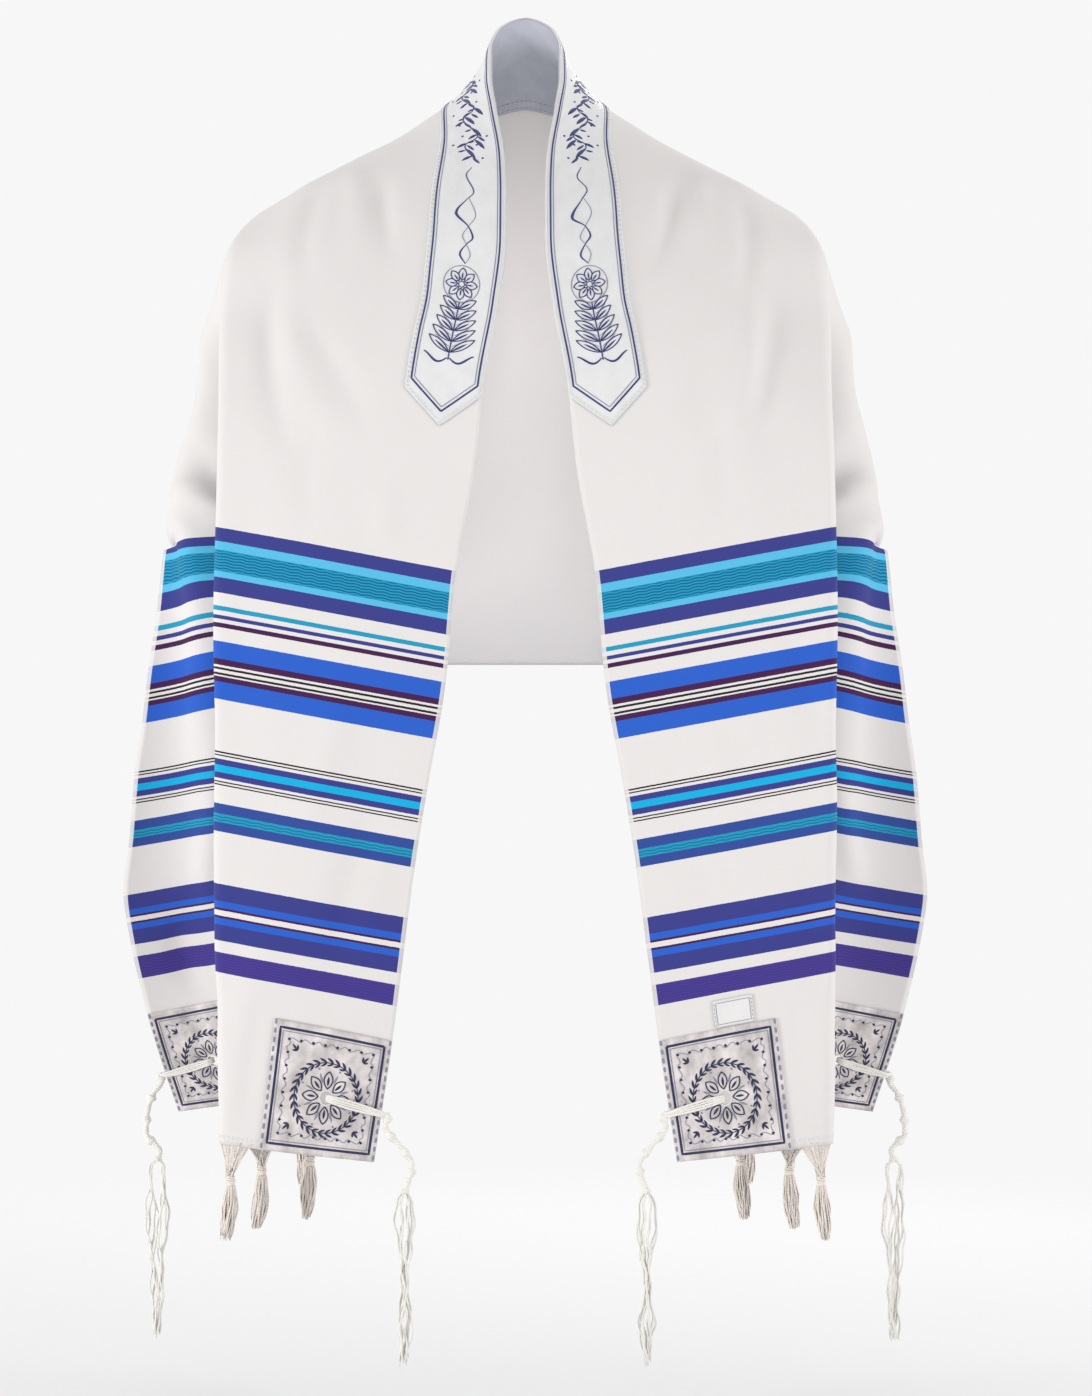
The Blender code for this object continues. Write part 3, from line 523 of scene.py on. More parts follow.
def section_controls(s):
    """Control points of the sections at s, from the neck edge to the long hem.

    Between the rails stand the two turns of the front fold and the pleat behind it, whose
    inner edge lies the pleat's depth inside the fold.
    """
    side = np.where(s < 0.0, -1.0, 1.0)[:, None]
    mirror = np.concatenate([side, np.ones_like(side), np.ones_like(side)], axis=1)
    a = np.abs(s)
    edge, collar, shoulder, fold, wing, hem = (rail(name, a) for name in RAILS)
    depth, swell = columns_at(PLEAT, a).T[..., None]
    folded = smooth_step(a, 0.255, 0.315)[:, None]

    along = unit(wing - fold)
    fold_front = fold - (1.0 - folded) * along * 0.5 * FOLD_GAP
    fold_back = fold_front + ((1.0 - folded) * along + folded * BACK) * FOLD_GAP
    before_fold = toward(fold_front, shoulder, FOLD_LEAD)

    middle = 0.5 * (fold_back + wing)
    deep = middle + RIGHT * (depth - (middle[:, :1] - fold[:, :1]))
    deep[:, 1:2] = 0.5 * (fold[:, 1:2] + wing[:, 1:2]) - 0.002
    reach = wing - fold_back
    inner = (1.0 - folded) * (fold_back + 0.35 * reach) + folded * deep
    outer = (1.0 - folded) * (fold_back + 0.55 * reach) + folded * (deep + BACK * FOLD_GAP)
    lead = np.minimum(FOLD_LEAD, 0.4 * depth + 0.006)
    after_fold = toward(fold_back, inner, lead)
    before_pleat = toward(inner, fold_back, np.minimum(FOLD_LEAD, 0.4 * depth + 0.005))
    after_pleat = toward(outer, wing, lead)

    reach = hem - wing
    outward = unit(np.cross(reach, UP))
    first = wing + 0.36 * reach - outward * swell
    second = wing + 0.72 * reach + outward * swell
    points = [edge, collar, shoulder, before_fold, fold_front, fold_back, after_fold,
              before_pleat, inner, outer, after_pleat, wing, first, second, hem]
    return np.stack([p * mirror for p in points], axis=1)


def spline_basis(count, q):
    """Clamped quadratic B-spline basis for count controls, at q from 0 to count - 2."""
    knots = np.concatenate([[0.0, 0.0], np.arange(count - 1), [count - 2.0, count - 2.0]])
    inside = np.minimum(q, count - 2.0 - 1e-9)[:, None]
    basis = ((knots[:-1] <= inside) & (inside < knots[1:])) * 1.0
    for degree in (1, 2):
        rise = knots[degree:-1] - knots[:-degree - 1]
        fall = knots[degree + 1:] - knots[1:-degree]
        up = np.where(rise > 0.0, (inside - knots[:-degree - 1]) / np.maximum(rise, 1e-9), 0.0)
        down = np.where(fall > 0.0, (knots[degree + 1:] - inside) / np.maximum(fall, 1e-9), 0.0)
        basis = up * basis[:, :-1] + down * basis[:, 1:]
    return basis


def flute(points, s, t):
    """The back hangs in soft flutes: a sine along s that deepens from the blades to the hem."""
    a = np.abs(s)[:, None]
    window = smooth_step(a, 0.045, 0.13) * (1.0 - smooth_step(a, 0.31, 0.40))
    depth = FLUTE_DEPTH * smooth_step(t, 0.20, WIDTH) * window
    wave = np.sin(math.tau * (a - 0.05) / FLUTE_PITCH)
    angle = smooth_step(a, 0.05, 0.42) * math.radians(80.0)
    side = np.where(s < 0.0, 1.0, -1.0)[:, None]
    moved = points.copy()
    moved[..., 0] += depth * wave * np.sin(angle) * side
    moved[..., 1] += depth * wave * np.cos(angle)
    return moved


def hung_points(s, t):
    """Points of the hung sheet for rows s and columns t.

    Each row is a quadratic spline through its section's controls, measured along its length
    and shared out so that t runs from 0 to the cloth's width.
    """
    controls = section_controls(s)
    count = controls.shape[1]
    basis = spline_basis(count, np.linspace(0.0, count - 2.0, 300))
    dense = np.einsum("qk,skx->sqx", basis, controls)
    length = run_lengths(dense)
    dense_t = length / length[:, -1:] * WIDTH
    dense = flute(dense, s, dense_t)
    lane = np.arange(len(s))[:, None]
    wanted = (np.broadcast_to(t, (len(s), len(t))) + lane).ravel()
    known = (dense_t + lane).ravel()
    columns = [np.interp(wanted, known, dense[..., k].ravel()) for k in range(3)]
    return np.stack(columns, axis=-1).reshape(len(s), len(t), 3)


def crease_rise(s, t, factor):
    """How far the creases move the cloth out at s and t.

    A crease rises as exp(-(d / width)^2) with the distance d from its bowed line, and fades
    in and out along it. Three long sines that never meet keep the flat places uneven.
    """
    total = np.zeros(np.broadcast(s, t).shape)
    for s0, t0, s1, t1, rise, width, bow in CREASES:
        reach = np.array([s1 - s0, t1 - t0])
        length = np.hypot(*reach)
        along = ((s - s0) * reach[0] + (t - t0) * reach[1]) / length ** 2
        away = ((s - s0) * -reach[1] + (t - t0) * reach[0]) / length
        away = away - bow * np.sin(math.pi * np.clip(along, 0.0, 1.0))
        window = smooth_step(along, -0.15, 0.35) * (1.0 - smooth_step(along, 0.65, 1.15))
        total += rise * window * np.exp(-(away / width) ** 2)
    drift = np.sin(s * 41.0 + 9.0 * t) * np.sin(t * 57.0 + 1.7) + np.sin(s * 23.0 - t * 31.0 + 0.6)
    stiff = 1.0 - 0.8 * smooth_step(np.abs(s), 0.80, 0.835) * (
        (np.asarray(t) < 0.1) | (np.asarray(t) > 0.41))
    collar = smooth_step(t, 0.045, 0.085) + smooth_step(np.abs(s), 0.38, 0.42)
    corner = smooth_step(np.hypot(np.abs(s) - 0.478, t - WIDTH), 0.02, 0.07)
    return factor * (total + 0.0004 * drift) * stiff * np.minimum(collar, 1.0) * corner


def grid_normals(points):
    """Unit normals of a grid, from central differences: across x along, which is outward."""
    along = np.gradient(points, axis=0)
    across = np.gradient(points, axis=1)
    return unit(np.cross(across, along))


class HungSheet:
    """The hung and creased cloth as a grid, read back at any s and t between its points."""

    def __init__(self, factor):
        half = np.concatenate([np.linspace(low, high, cells, endpoint=False)
                               for low, high, cells in ROW_RUNS] + [[HALF_LENGTH]])
        self.s = np.concatenate([-half[:0:-1], half])
        self.t = np.concatenate([np.linspace(low, high, cells, endpoint=False)
                                 for low, high, cells in COLUMN_RUNS] + [[WIDTH]])
        smooth = hung_points(self.s, self.t)
        rise = crease_rise(self.s[:, None], self.t[None], factor)
        self.points = smooth + rise[..., None] * grid_normals(smooth)
        self.normals = grid_normals(self.points)

    def at(self, s, t):
        """Points and unit normals at s and t, blended between the four grid points around."""
        s, t = np.broadcast_arrays(s, t)
        i = np.interp(s, self.s, np.arange(len(self.s)))
        j = np.interp(t, self.t, np.arange(len(self.t)))
        i0 = np.minimum(i.astype(int), len(self.s) - 2)
        j0 = np.minimum(j.astype(int), len(self.t) - 2)
        u = (i - i0)[..., None]
        v = (j - j0)[..., None]

        def between(grid):
            low = grid[i0, j0] * (1.0 - v) + grid[i0, j0 + 1] * v
            high = grid[i0 + 1, j0] * (1.0 - v) + grid[i0 + 1, j0 + 1] * v
            return low * (1.0 - u) + high * u

        return between(self.points), unit(between(self.normals))

    def directions(self, s, t, step=0.003):
        """Unit directions along the cloth's length and across its width at s and t."""
        low, _ = self.at(np.array([s - step, s]), np.array([t, max(t - step, 0.0)]))
        high, _ = self.at(np.array([s + step, s]), np.array([t, min(t + step, WIDTH)]))
        return unit(high - low)


def math_method(operation, reflected=False):
    """A method that adds one Math node on the wire and another value."""
    def method(wire, other):
        return wire.maths(operation, *((other, wire) if reflected else (wire, other)))
    return method


class Wire:
    """A shader socket that Python's operators work on; each operator adds one Math node."""

    def __init__(self, finish, socket):
        self.finish = finish
        self.socket = socket

    def maths(self, operation, *values):
        sockets = dict(enumerate(values))
        return self.finish.node("ShaderNodeMath", {"operation": operation}, sockets)

    def __abs__(self):
        return self.maths("ABSOLUTE", self)

    def sine(self):
        return self.maths("SINE", self)

    def wave(self, pitch):
        """A sine over this length, one turn for every pitch."""
        return (self * (math.tau / pitch)).sine()

    __add__ = __radd__ = math_method("ADD")
    __mul__ = __rmul__ = math_method("MULTIPLY")
    __sub__ = math_method("SUBTRACT")
    __rsub__ = math_method("SUBTRACT", reflected=True)
    __truediv__ = math_method("DIVIDE")
    __gt__ = math_method("GREATER_THAN")
    __lt__ = math_method("LESS_THAN")


class Finish:
    """A material being written: its node tree, its shader and the piece's own coordinates."""

    def __init__(self, name, colour, roughness, sheen=0.0):
        self.material = bpy.data.materials.new(name)
        self.material.use_nodes = True
        self.tree = self.material.node_tree
        self.shader = self.tree.nodes["Principled BSDF"]
        self.colour = (*colour, 1.0)
        self.shader.inputs["Base Color"].default_value = self.colour
        self.shader.inputs["Roughness"].default_value = roughness
        self.shader.inputs["Sheen Weight"].default_value = sheen
        self.shader.inputs["Sheen Roughness"].default_value = 0.5
        self.shader.inputs["Specular IOR Level"].default_value = 0.25
        self.uv = self.node("ShaderNodeUVMap", {"uv_map": "cloth"})
        self.u, self.v = (self.node("ShaderNodeSeparateXYZ", {}, {0: self.uv}, axis)
                          for axis in ("X", "Y"))

    def node(self, kind, settings=None, sockets=None, output=0):
        """Adds a node, sets it up, gives its sockets values or links, and returns an output."""
        node = self.tree.nodes.new(kind)
        for name, value in (settings or {}).items():
            if name == "stops":
                self.fill_ramp(node.color_ramp, value)
            elif name == "interpolation":
                node.color_ramp.interpolation = value
            else:
                setattr(node, name, value)
        for key, value in (sockets or {}).items():
            if isinstance(value, Wire):
                self.tree.links.new(value.socket, node.inputs[key])
            else:
                node.inputs[key].default_value = value
        return Wire(self, node.outputs[output])

    @staticmethod
    def fill_ramp(ramp, stops):
        """Gives a colour ramp these stops, each a position and a colour, in rising order."""
        while len(ramp.elements) < len(stops):
            ramp.elements.new(1.0)
        for element, (place, colour) in zip(ramp.elements, stops):
            element.position = place
            element.color = (*colour[:3], 1.0)

    def blend(self, factor, first, second, way="MIX"):
        """Colour first where factor is 0 and second where it is 1."""
        return self.node("ShaderNodeMix", {"data_type": "RGBA", "blend_type": way},
                         {0: factor, 6: first, 7: second}, 2)

    def noise(self, stretch, detail=2.0, roughness=0.5):
        """Noise over the piece's coordinates, each multiplied by its part of stretch."""
        place = self.node("ShaderNodeVectorMath", {"operation": "MULTIPLY"},
                          {0: self.uv, 1: stretch})
        return self.node("ShaderNodeTexNoise", {},
                         {"Vector": place, "Scale": 1.0, "Detail": detail, "Roughness": roughness})

    def uneven(self, factor, depth):
        """The finish's colour, darkened by depth where factor is 0."""
        dark = tuple(c * (1.0 - depth) for c in self.colour[:3]) + (1.0,)
        return self.blend(factor, dark, self.colour)

    def paint(self, colour, height=None, distance=0.0002, strength=0.6, **others):
        """Links what varies to the shader's inputs, the height through a Bump node."""
        varying = {"Base Color": colour, **others}
        if height is not None:
            varying["Normal"] = self.node("ShaderNodeBump", {}, {
                "Height": height, "Distance": distance, "Strength": strength})
        for name, wire in varying.items():
            self.tree.links.new(wire.socket, self.shader.inputs[name])
        return self.material


def stripe_stops(low, high, threads):
    """Ramp stops of the stripes between two heights, with the cloth's colour between them."""
    edges = {low: threads["cloth"]}
    for thread, top, bottom in STRIPES:
        if bottom >= low and top <= high:
            edges.setdefault(top, threads["cloth"])
            edges[bottom] = threads[thread]
    span = high - low
    return [((edge - low) / span, edges[edge]) for edge in sorted(edges)]


def cloth_finish(colours):
    """Plain weave in s and t: weft stripes by the height above the hem, ribs and fine slubs."""
    finish = Finish("striped_wool", colours.cloth, 0.9, sheen=0.05)
    threads = {name: tuple(getattr(colours, name))
               for name in [row[0] for row in STRIPES] + ["cloth"]}
    height = HALF_LENGTH - abs(finish.u)
    wander = (finish.noise((40.0, 900.0, 1.0)) - 0.5) * 0.0006
    place = height + wander
    colour = (*colours.cloth, 1.0)
    for low, high in RAMP_RANGES:
        ramp = finish.node("ShaderNodeValToRGB",
                           {"stops": stripe_stops(low, high, threads), "interpolation": "CONSTANT"},
                           {0: (place - low) / (high - low)})
        colour = finish.blend((place > low) * (place < high), colour, ramp)

    ribs = (place * (math.tau / RIB_PITCH) + (finish.v * 570.0).sine() * 0.9).sine() * 0.5 + 0.5
    ribbed = 0.0
    for low, high, depth in RIBBED:
        ribbed = (place > low + 0.0003) * (place < high - 0.0003) * depth + ribbed
    colour = finish.blend(ribbed * (ribs > 0.52), colour, (0.10, 0.40, 0.56, 1.0), "MULTIPLY")

    warp = finish.noise((70.0, 2600.0, 1.0), 3.0)
    weft = finish.noise((2600.0, 70.0, 1.0), 3.0)
    slub = (warp + weft) * 0.5
    thin = finish.blend(1.0, colour, (0.90, 0.90, 0.91, 1.0), "MULTIPLY")
    colour = finish.blend(slub, thin, colour)
    edge = (finish.v < SELVEDGE) * 0.8 + (finish.v > WIDTH - SELVEDGE) * 0.8
    colour = finish.blend(edge, colour, (*colours.cloth, 1.0))

    weave = finish.u.wave(WEAVE_PITCH) * finish.v.wave(WEAVE_PITCH)
    relief = weave * 0.25 + slub * 0.6 + ribbed * ribs * 0.9
    return finish.paint(colour, relief, 0.00025, 0.55)


def satin_finish(name, colour, roughness, painted_sheen, pitch):
    """Satin: long floats along the piece, fine twill steps, and broad sheen that comes and goes,
    painted into the colour as light and dark blotches and also set in roughness and bump.
    """
    finish = Finish(name, colour, roughness, sheen=0.1)
    broad = (finish.noise((58.0, 70.0, 1.0), 3.0, 0.6) - 0.5) * 3.0 + 0.5
    floats = finish.noise((900.0, 60.0, 1.0), 3.0)
    # Painted sheen: the broad noise paints light and dark blotches into the satin's colour; the
    # floats add a small streaky tone of the weave.
    tone = finish.uneven(broad * 0.8 + floats * 0.2, painted_sheen)
    twill = (finish.u + finish.v).wave(pitch)
    relief = twill * 0.35 + floats * 0.8 + broad * 3.0
    return finish.paint(tone, relief, 0.00018, 0.5, Roughness=broad * 0.25 + (roughness - 0.12))


def thread_finish(name, colour, pitch=0.0006, roughness=0.5, slant=0.0):
    """Thread laid side by side: a fine sine along the line, tilted by slant round it. The colour
    has painted shade in the grooves between the laid threads, and fibre streaks of random tone.
    """
    finish = Finish(name, colour, roughness, sheen=0.2)
    lay = (finish.u * (math.tau / pitch) + finish.v * slant).sine()
    fibre = finish.noise((700.0, 9.0, 1.0), 3.0)
    # Painted shade: the colour darkens where the lay sine sinks into the grooves between threads;
    # the fibre noise adds random tone of its own.
    tone = finish.uneven(lay * 0.25 + fibre * 0.5 + 0.45, 0.24)
    return finish.paint(tone, lay * 0.5 + fibre, 0.00015, 0.6)


def floor_finish(colours):
    """Matt pale floor with a barely seen mottle, which fades out far from the object."""
    finish = Finish("pale_floor", colours.floor, 0.9)
    reach = finish.u * finish.u + finish.v * finish.v
    near = finish.node("ShaderNodeMapRange", {"interpolation_type": "SMOOTHSTEP"},
                       {"Value": reach, "From Min": 0.2, "From Max": 2.6, "To Min": 1.0,
                        "To Max": 0.0})
    return finish.paint(finish.uneven(finish.noise((3.0, 3.0, 1.0), 2.0), 0.015), Alpha=near)


def mesh_object(name, parts, material):
    """A mesh object from parts, each points, quads, end faces and a UV pair for every corner."""
    points, faces, corners = [], [], []
    first = 0
    for part_points, quads, ends, quad_uv, end_uv in parts:
        points.append(part_points.reshape(-1, 3))
        faces.extend((quads + first).tolist())
        faces.extend((ends + first).tolist())
        corners.extend([quad_uv.reshape(-1, 2), end_uv.reshape(-1, 2)])
        first += len(points[-1])
    mesh = bpy.data.meshes.new(name)
    mesh.from_pydata(np.vstack(points), [], faces)
    layer = mesh.uv_layers.new(name="cloth")
    layer.data.foreach_set("uv", np.vstack(corners).astype(np.float32).ravel())
    mesh.polygons.foreach_set("use_smooth", np.full(len(faces), True))
    mesh.materials.append(material)
    mesh.update()
    made = bpy.data.objects.new(name, mesh)
    bpy.context.scene.collection.objects.link(made)
    return made


def piece_from(name, parts, material):
    """A mesh object that belongs to the shawl, in a colour slot."""
    piece = mesh_object(name, parts, material)
    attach(piece, "root")
    return piece


def grid_part(points, s, t):
    """A grid of points as a part, with s and t as its UV pairs; its faces look outward."""
    rows, columns = points.shape[:2]
    index = np.arange(rows * columns).reshape(rows, columns)
    quads = np.stack([index[:-1, :-1], index[:-1, 1:], index[1:, 1:], index[1:, :-1]], axis=-1)
    quads = quads.reshape(-1, 4)
    uv = np.stack(np.broadcast_arrays(s, t), axis=-1).reshape(-1, 2)
    return points, quads, np.zeros((0, 4), int), uv[quads], np.zeros((0, 2))


def sweep(paths, reference, offsets, closed=False):
    """Profiles carried along paths, as a part with closed ends.

    paths is lines x points x 3. At each point the profile's first coordinate runs along
    tangent x reference and its second along the direction square to that and the tangent.
    offsets is lines x points x sides x 2, or anything that broadcasts to it.
    """
    lines, count = paths.shape[:2]
    if closed:
        tangent = unit(np.roll(paths, -1, axis=1) - np.roll(paths, 1, axis=1))
    else:
        tangent = unit(np.gradient(paths, axis=1))
    side = unit(np.cross(tangent, reference))
    up = np.cross(side, tangent)
    sides = offsets.shape[-2]
    offsets = np.broadcast_to(offsets, (lines, count, sides, 2))
    rings = (paths[:, :, None] + offsets[..., :1] * side[:, :, None]
             + offsets[..., 1:] * up[:, :, None])
    index = np.arange(lines * count * sides).reshape(lines, count, sides)
    turned = np.roll(index, -1, axis=2)
    ahead = np.roll(index, -1, axis=1)
    ahead_turned = np.roll(turned, -1, axis=1)
    quads = np.stack([index, ahead, ahead_turned, turned], axis=-1)
    length = run_lengths(np.concatenate([paths, paths[:, :1]], axis=1))
    near = np.broadcast_to(length[:, :-1, None], index.shape)
    far = np.broadcast_to(length[:, 1:, None], index.shape)
    low = np.broadcast_to(np.arange(sides) / sides, index.shape)
    high = low + 1.0 / sides
    uv = np.stack([np.stack([near, far, far, near], axis=-1),
                   np.stack([low, low, high, high], axis=-1)], axis=-1)
    if closed:
        return rings, quads.reshape(-1, 4), np.zeros((0, sides), int), uv, np.zeros((0, 2))
    ends = np.concatenate([index[:, 0], index[:, -1, ::-1]])
    end_uv = np.broadcast_to(0.0, (len(ends) * sides, 2))
    return rings, quads[:, :-1].reshape(-1, 4), ends, uv[:, :-1], end_uv


def round_profile(radius, sides):
    """A circle of the radius, which may differ by line and point, as profile offsets."""
    circle = np.stack(polar(1.0, turns(sides)), axis=-1)
    return np.asarray(radius, float)[..., None, None] * circle


def add_wall(piece, wall):
    """Gives a surface a wall, half on each side, and keeps the result as its mesh."""
    solid = piece.modifiers.new("Wall", "SOLIDIFY")
    solid.thickness = wall
    solid.offset = 0.0
    solid.use_rim = True
    keep_modifiers(piece)


def keep_modifiers(piece):
    """Replaces a piece's mesh by what its modifiers make of it."""
    bpy.context.view_layer.update()
    evaluated = piece.evaluated_get(bpy.context.evaluated_depsgraph_get())
    mesh = bpy.data.meshes.new_from_object(evaluated)
    mesh.name = piece.name
    piece.modifiers.clear()
    piece.data = mesh


def cut_eyelets(piece, sheet, places):
    """Cuts a round hole through a piece at each s and t of the sheet."""
    parts = []
    for s, t in places:
        centre, normal = sheet.at(s, t)
        along, _ = sheet.directions(s, t)
        path = centre + np.outer([-0.006, 0.006], normal)
        parts.append(sweep(path[None], along, round_profile(EYELET_RADIUS, 24)))
    cutter = mesh_object("eyelet_cutter", parts, bpy.data.materials.new("cutter"))
    cut = piece.modifiers.new("Eyelets", "BOOLEAN")
    cut.operation = "DIFFERENCE"
    cut.object = cutter
    cut.solver = "EXACT"
    keep_modifiers(piece)
    bpy.data.objects.remove(cutter)


def corners_of(place):
    """Hand, sign and eyelet of the two corners of one kind, front or side."""
    t = EYELET_IN if place == "front" else WIDTH - EYELET_IN
    for sign, hand in SIDES:
        yield hand, sign, (sign * (HALF_LENGTH - EYELET_UP), t)


def sewn_panel(name, sheet, s, t, lift, wall, material):
    """A panel parallel to the sheet: its points at s and t, moved along the normals by lift."""
    points, normals = sheet.at(s, t)
    piece = piece_from(name, [grid_part(points + lift * normals, s, t)], material)
    add_wall(piece, wall)
    return piece


def stroke_profile(widths, height):
    """Half a flat ellipse above the cloth and a shallow belly below it, for laid thread."""
    angle = turns(6)
    across = 0.5 * widths[..., None] * np.cos(angle)
    rise = height * np.sqrt(widths / np.max(widths))[..., None] * np.sin(angle)
    return np.stack([across, np.where(np.sin(angle) > 0.0, rise, 0.3 * rise)], axis=-1)


def embroider(name, sheet, groups, lift, height, material):
    """Laid thread on the sheet: groups of strokes, each places in s and t with their widths."""
    parts = []
    for places, widths in groups:
        points, normals = sheet.at(places[..., 0], places[..., 1])
        parts.append(sweep(points + lift * normals, normals, stroke_profile(widths, height)))
    return piece_from(name, parts, material)


def fine_path(corners, step):
    """The polyline through the corners with points at most a step apart."""
    corners = np.asarray(corners, float)
    parts = []
    for a, b in zip(corners[:-1], corners[1:]):
        count = max(2, math.ceil(np.linalg.norm(b - a) / step))
        share = np.arange(count)[:, None] / count
        parts.append(a + (b - a) * share)
    return np.vstack(parts + [corners[-1:]])


def embroideries(sheet, top, colours, rows):
    """Embroidery in several threads: rows of piece name, strokes, height and thread."""
    return [embroider(name, sheet, strokes, top, height, thread_material(colours, thread))
            for name, strokes, height, thread in rows]


def line_stroke(corners, width):
    """One stroke of even width along a polyline."""
    path = fine_path(corners, 0.0025)
    return path[None], np.full((1, len(path)), width)


def dashes(corners, pitch, length, width):
    """Short stitches along a polyline, one every pitch."""
    path = fine_path(corners, 0.002)
    run = run_lengths(path)
    starts = np.arange(0.0, run[-1] - length, pitch)
    at = starts[:, None] + length * np.array([0.0, 0.15, 0.5, 0.85, 1.0])
    places = np.stack([np.interp(at, run, path[:, k]) for k in (0, 1)], axis=-1)
    swell = width * np.array([0.35, 0.9, 1.0, 0.9, 0.35])
    return places, np.broadcast_to(swell, at.shape)


def as_columns(*values):
    """The values as columns of one length."""
    return (value.reshape(-1, 1) for value in np.broadcast_arrays(*values))


def facing(x, y, angle, forward, sideways):
    """Places forward and sideways of x, y when it faces the angle."""
    return np.stack([x + np.cos(angle) * forward - np.sin(angle) * sideways,
                     y + np.sin(angle) * forward + np.cos(angle) * sideways], axis=-1)


def leaf_width(f):
    """Width of a leaf at the share f of its length: sin(pi f)^0.8."""
    return np.sin(math.pi * f) ** 0.8


def leaves(x, y, angle, length, width, curl=0.0):
    """Leaf strokes from x, y at an angle, each bent sideways by curl times f^2.

    f is the share of the length.
    """
    f = np.linspace(0.0, 1.0, 8)
    x, y, angle, length, width, curl = as_columns(x, y, angle, length, width, curl)
    places = facing(x, y, angle, f * length, curl * f * f)
    return places, width * (0.08 + 0.92 * leaf_width(f))


def ring_line(radius, width, count, centre=(0.0, 0.0)):
    """A closed circle as one stroke that ends where it starts."""
    path = np.stack(polar(radius, np.linspace(0.0, math.tau, count)), axis=-1) + centre
    return path[None], np.full((1, count), width)


def outlined_leaves(x, y, angle, length, width, thread):
    """The outlines of leaves, as thin strokes that run out along one edge and back."""
    f = np.concatenate([np.linspace(0.0, 1.0, 9), np.linspace(1.0, 0.0, 9)])
    side = np.repeat([0.5, -0.5], 9)
    x, y, angle, length, width = as_columns(x, y, angle, length, width)
    places = facing(x, y, angle, f * length, side * width * leaf_width(f))
    return places, np.full(places.shape[:2], thread)


def placed(strokes, sign, s_centre, t_centre, flip=1.0):
    """Strokes drawn in x across and y towards the hem, moved to a place on the cloth."""
    return [(np.stack([sign * (s_centre + places[..., 1]), t_centre + flip * places[..., 0]],
                      axis=-1), widths) for places, widths in strokes]


def band_outline(inset, tip_inset):
    """Corners of a line inside the neckband's edge, round both pointed ends."""
    slope = BAND_POINT / (0.5 * BAND_WIDTH)
    tip = BAND_HALF_LENGTH - tip_inset
    shoulder = tip - slope * (0.5 * BAND_WIDTH - inset)
    middle = 0.5 * BAND_WIDTH
    far = BAND_WIDTH - inset
    return [(tip, middle), (shoulder, inset), (-shoulder, inset), (-tip, middle),
            (-shoulder, far), (shoulder, far), (tip, middle)]


def vine_strokes():
    """A leafy vine in the zone over the collarbone: stem x = 6 mm sin(2 pi y / 34 mm)."""
    def stem(y):
        return 0.006 * np.sin(math.tau * y / 0.034)

    y = np.linspace(-0.059, 0.057, 81)
    bud = np.arange(17)
    bud_y = -0.057 + bud * 0.0068
    bud_x = stem(bud_y)
    side = np.where(bud % 2 == 0, 1.0, -1.0)
    angle = np.where(side > 0.0, 0.55, math.pi - 0.55)
    blades = leaves(bud_x, bud_y, angle, 0.0118, 0.0030, curl=side * 0.0024)
    small = leaves(bud_x, bud_y + 0.002, math.pi - angle, 0.0076, 0.0021)
    seeds = leaves(bud_x - side * 0.0098, bud_y - 0.001, 0.0, 0.0020, 0.0020)
    line = np.stack([stem(y), y], axis=-1)
    return [(line[None], np.full((1, len(y)), 0.0010)), blades, small, seeds]


def zigzag_strokes(table):
    """A thread that swings from side to side through a table's rows, swelling where it says."""
    s = np.linspace(table[0][0], table[-1][0], 121)
    x, width = columns_at(table, s).T
    return [(np.stack([x, s], axis=-1)[None], width[None])]


def plume_leaves(length, width):
    """Places, angles and sizes of the plume's five pairs of leaves, right ones first."""
    row = np.tile(np.arange(5), 2)
    side = np.repeat([1.0, -1.0], 5)
    angle = np.where(side > 0.0, -0.62, math.pi + 0.62)
    return side * 0.0006, 0.0300 - row * 0.0084, angle, length * (1.0 - 0.07 * row), width, side


def plume_strokes():
    """The ornament near each band end: an open rosette on a stem between rising leaves."""
    turn = turns(8)
    petals = outlined_leaves(*polar(0.0030, turn, ROSETTE_Y), turn, 0.0088, 0.0056, 0.0009)
    hearts = leaves(*polar(0.0038, turn, ROSETTE_Y), turn, 0.0050, 0.0013)
    x, y, angle, length, width, _ = plume_leaves(0.0200, 0.0052)
    blades = outlined_leaves(x, y, angle, length, width, 0.0009)
    veins = leaves(x, y, angle, 0.70 * length, 0.0016)
    share = np.linspace(0.0, 1.0, 24)
    curls = [(np.stack([way * (0.001 + 0.0175 * share),
                        0.0345 + 0.0035 * np.sin(4.4 * share)], axis=-1)[None],
              0.0009 + 0.0008 * np.sin(math.pi * share)[None]) for way in (1.0, -1.0)]
    return [petals, hearts, ring_line(0.0022, 0.0008, 20, (0.0, ROSETTE_Y)),
            line_stroke([(0.0, -0.0090), (0.0, 0.0360)], 0.0010), blades, veins] + curls


def plume_shades():
    """Pale leaves beside the plume's dark ones and a thin ring round its rosette."""
    x, y, angle, length, width, side = plume_leaves(0.0150, 0.0010)
    return [leaves(x, y - 0.0040, angle + 0.12 * side, length, width, curl=-0.002 * side),
            ring_line(0.0134, 0.0008, 48, (0.0, ROSETTE_Y))]


def emblem_strokes():
    """The patch's ornament: eight outlined petals round the eyelet inside a ring of leaves."""
    turn = turns(8)
    petals = outlined_leaves(*polar(0.0062, turn), turn, 0.0118, 0.0066, 0.0010)
    hearts = leaves(*polar(0.0080, turn), turn, 0.0066, 0.0019)
    around = turns(30)
    ring = polar(WREATH_RADIUS, around)
    outer = leaves(*ring, around + 0.95, 0.0062, 0.0019, curl=0.0010)
    inner = leaves(*ring, around + 2.25, 0.0054, 0.0016, curl=-0.0010)
    return [petals, hearts, outer, inner, ring_line(WREATH_RADIUS, 0.0008, 60)]


def emblem_shades():
    """Pale seeds and small leaves between the petals of the patch's ornament."""
    turn = turns(8) + math.pi / 8.0
    return [leaves(*polar(0.0105, turn), turn, 0.0070, 0.0016),
            leaves(*polar(0.0195, turn), turn, 0.0018, 0.0018)]


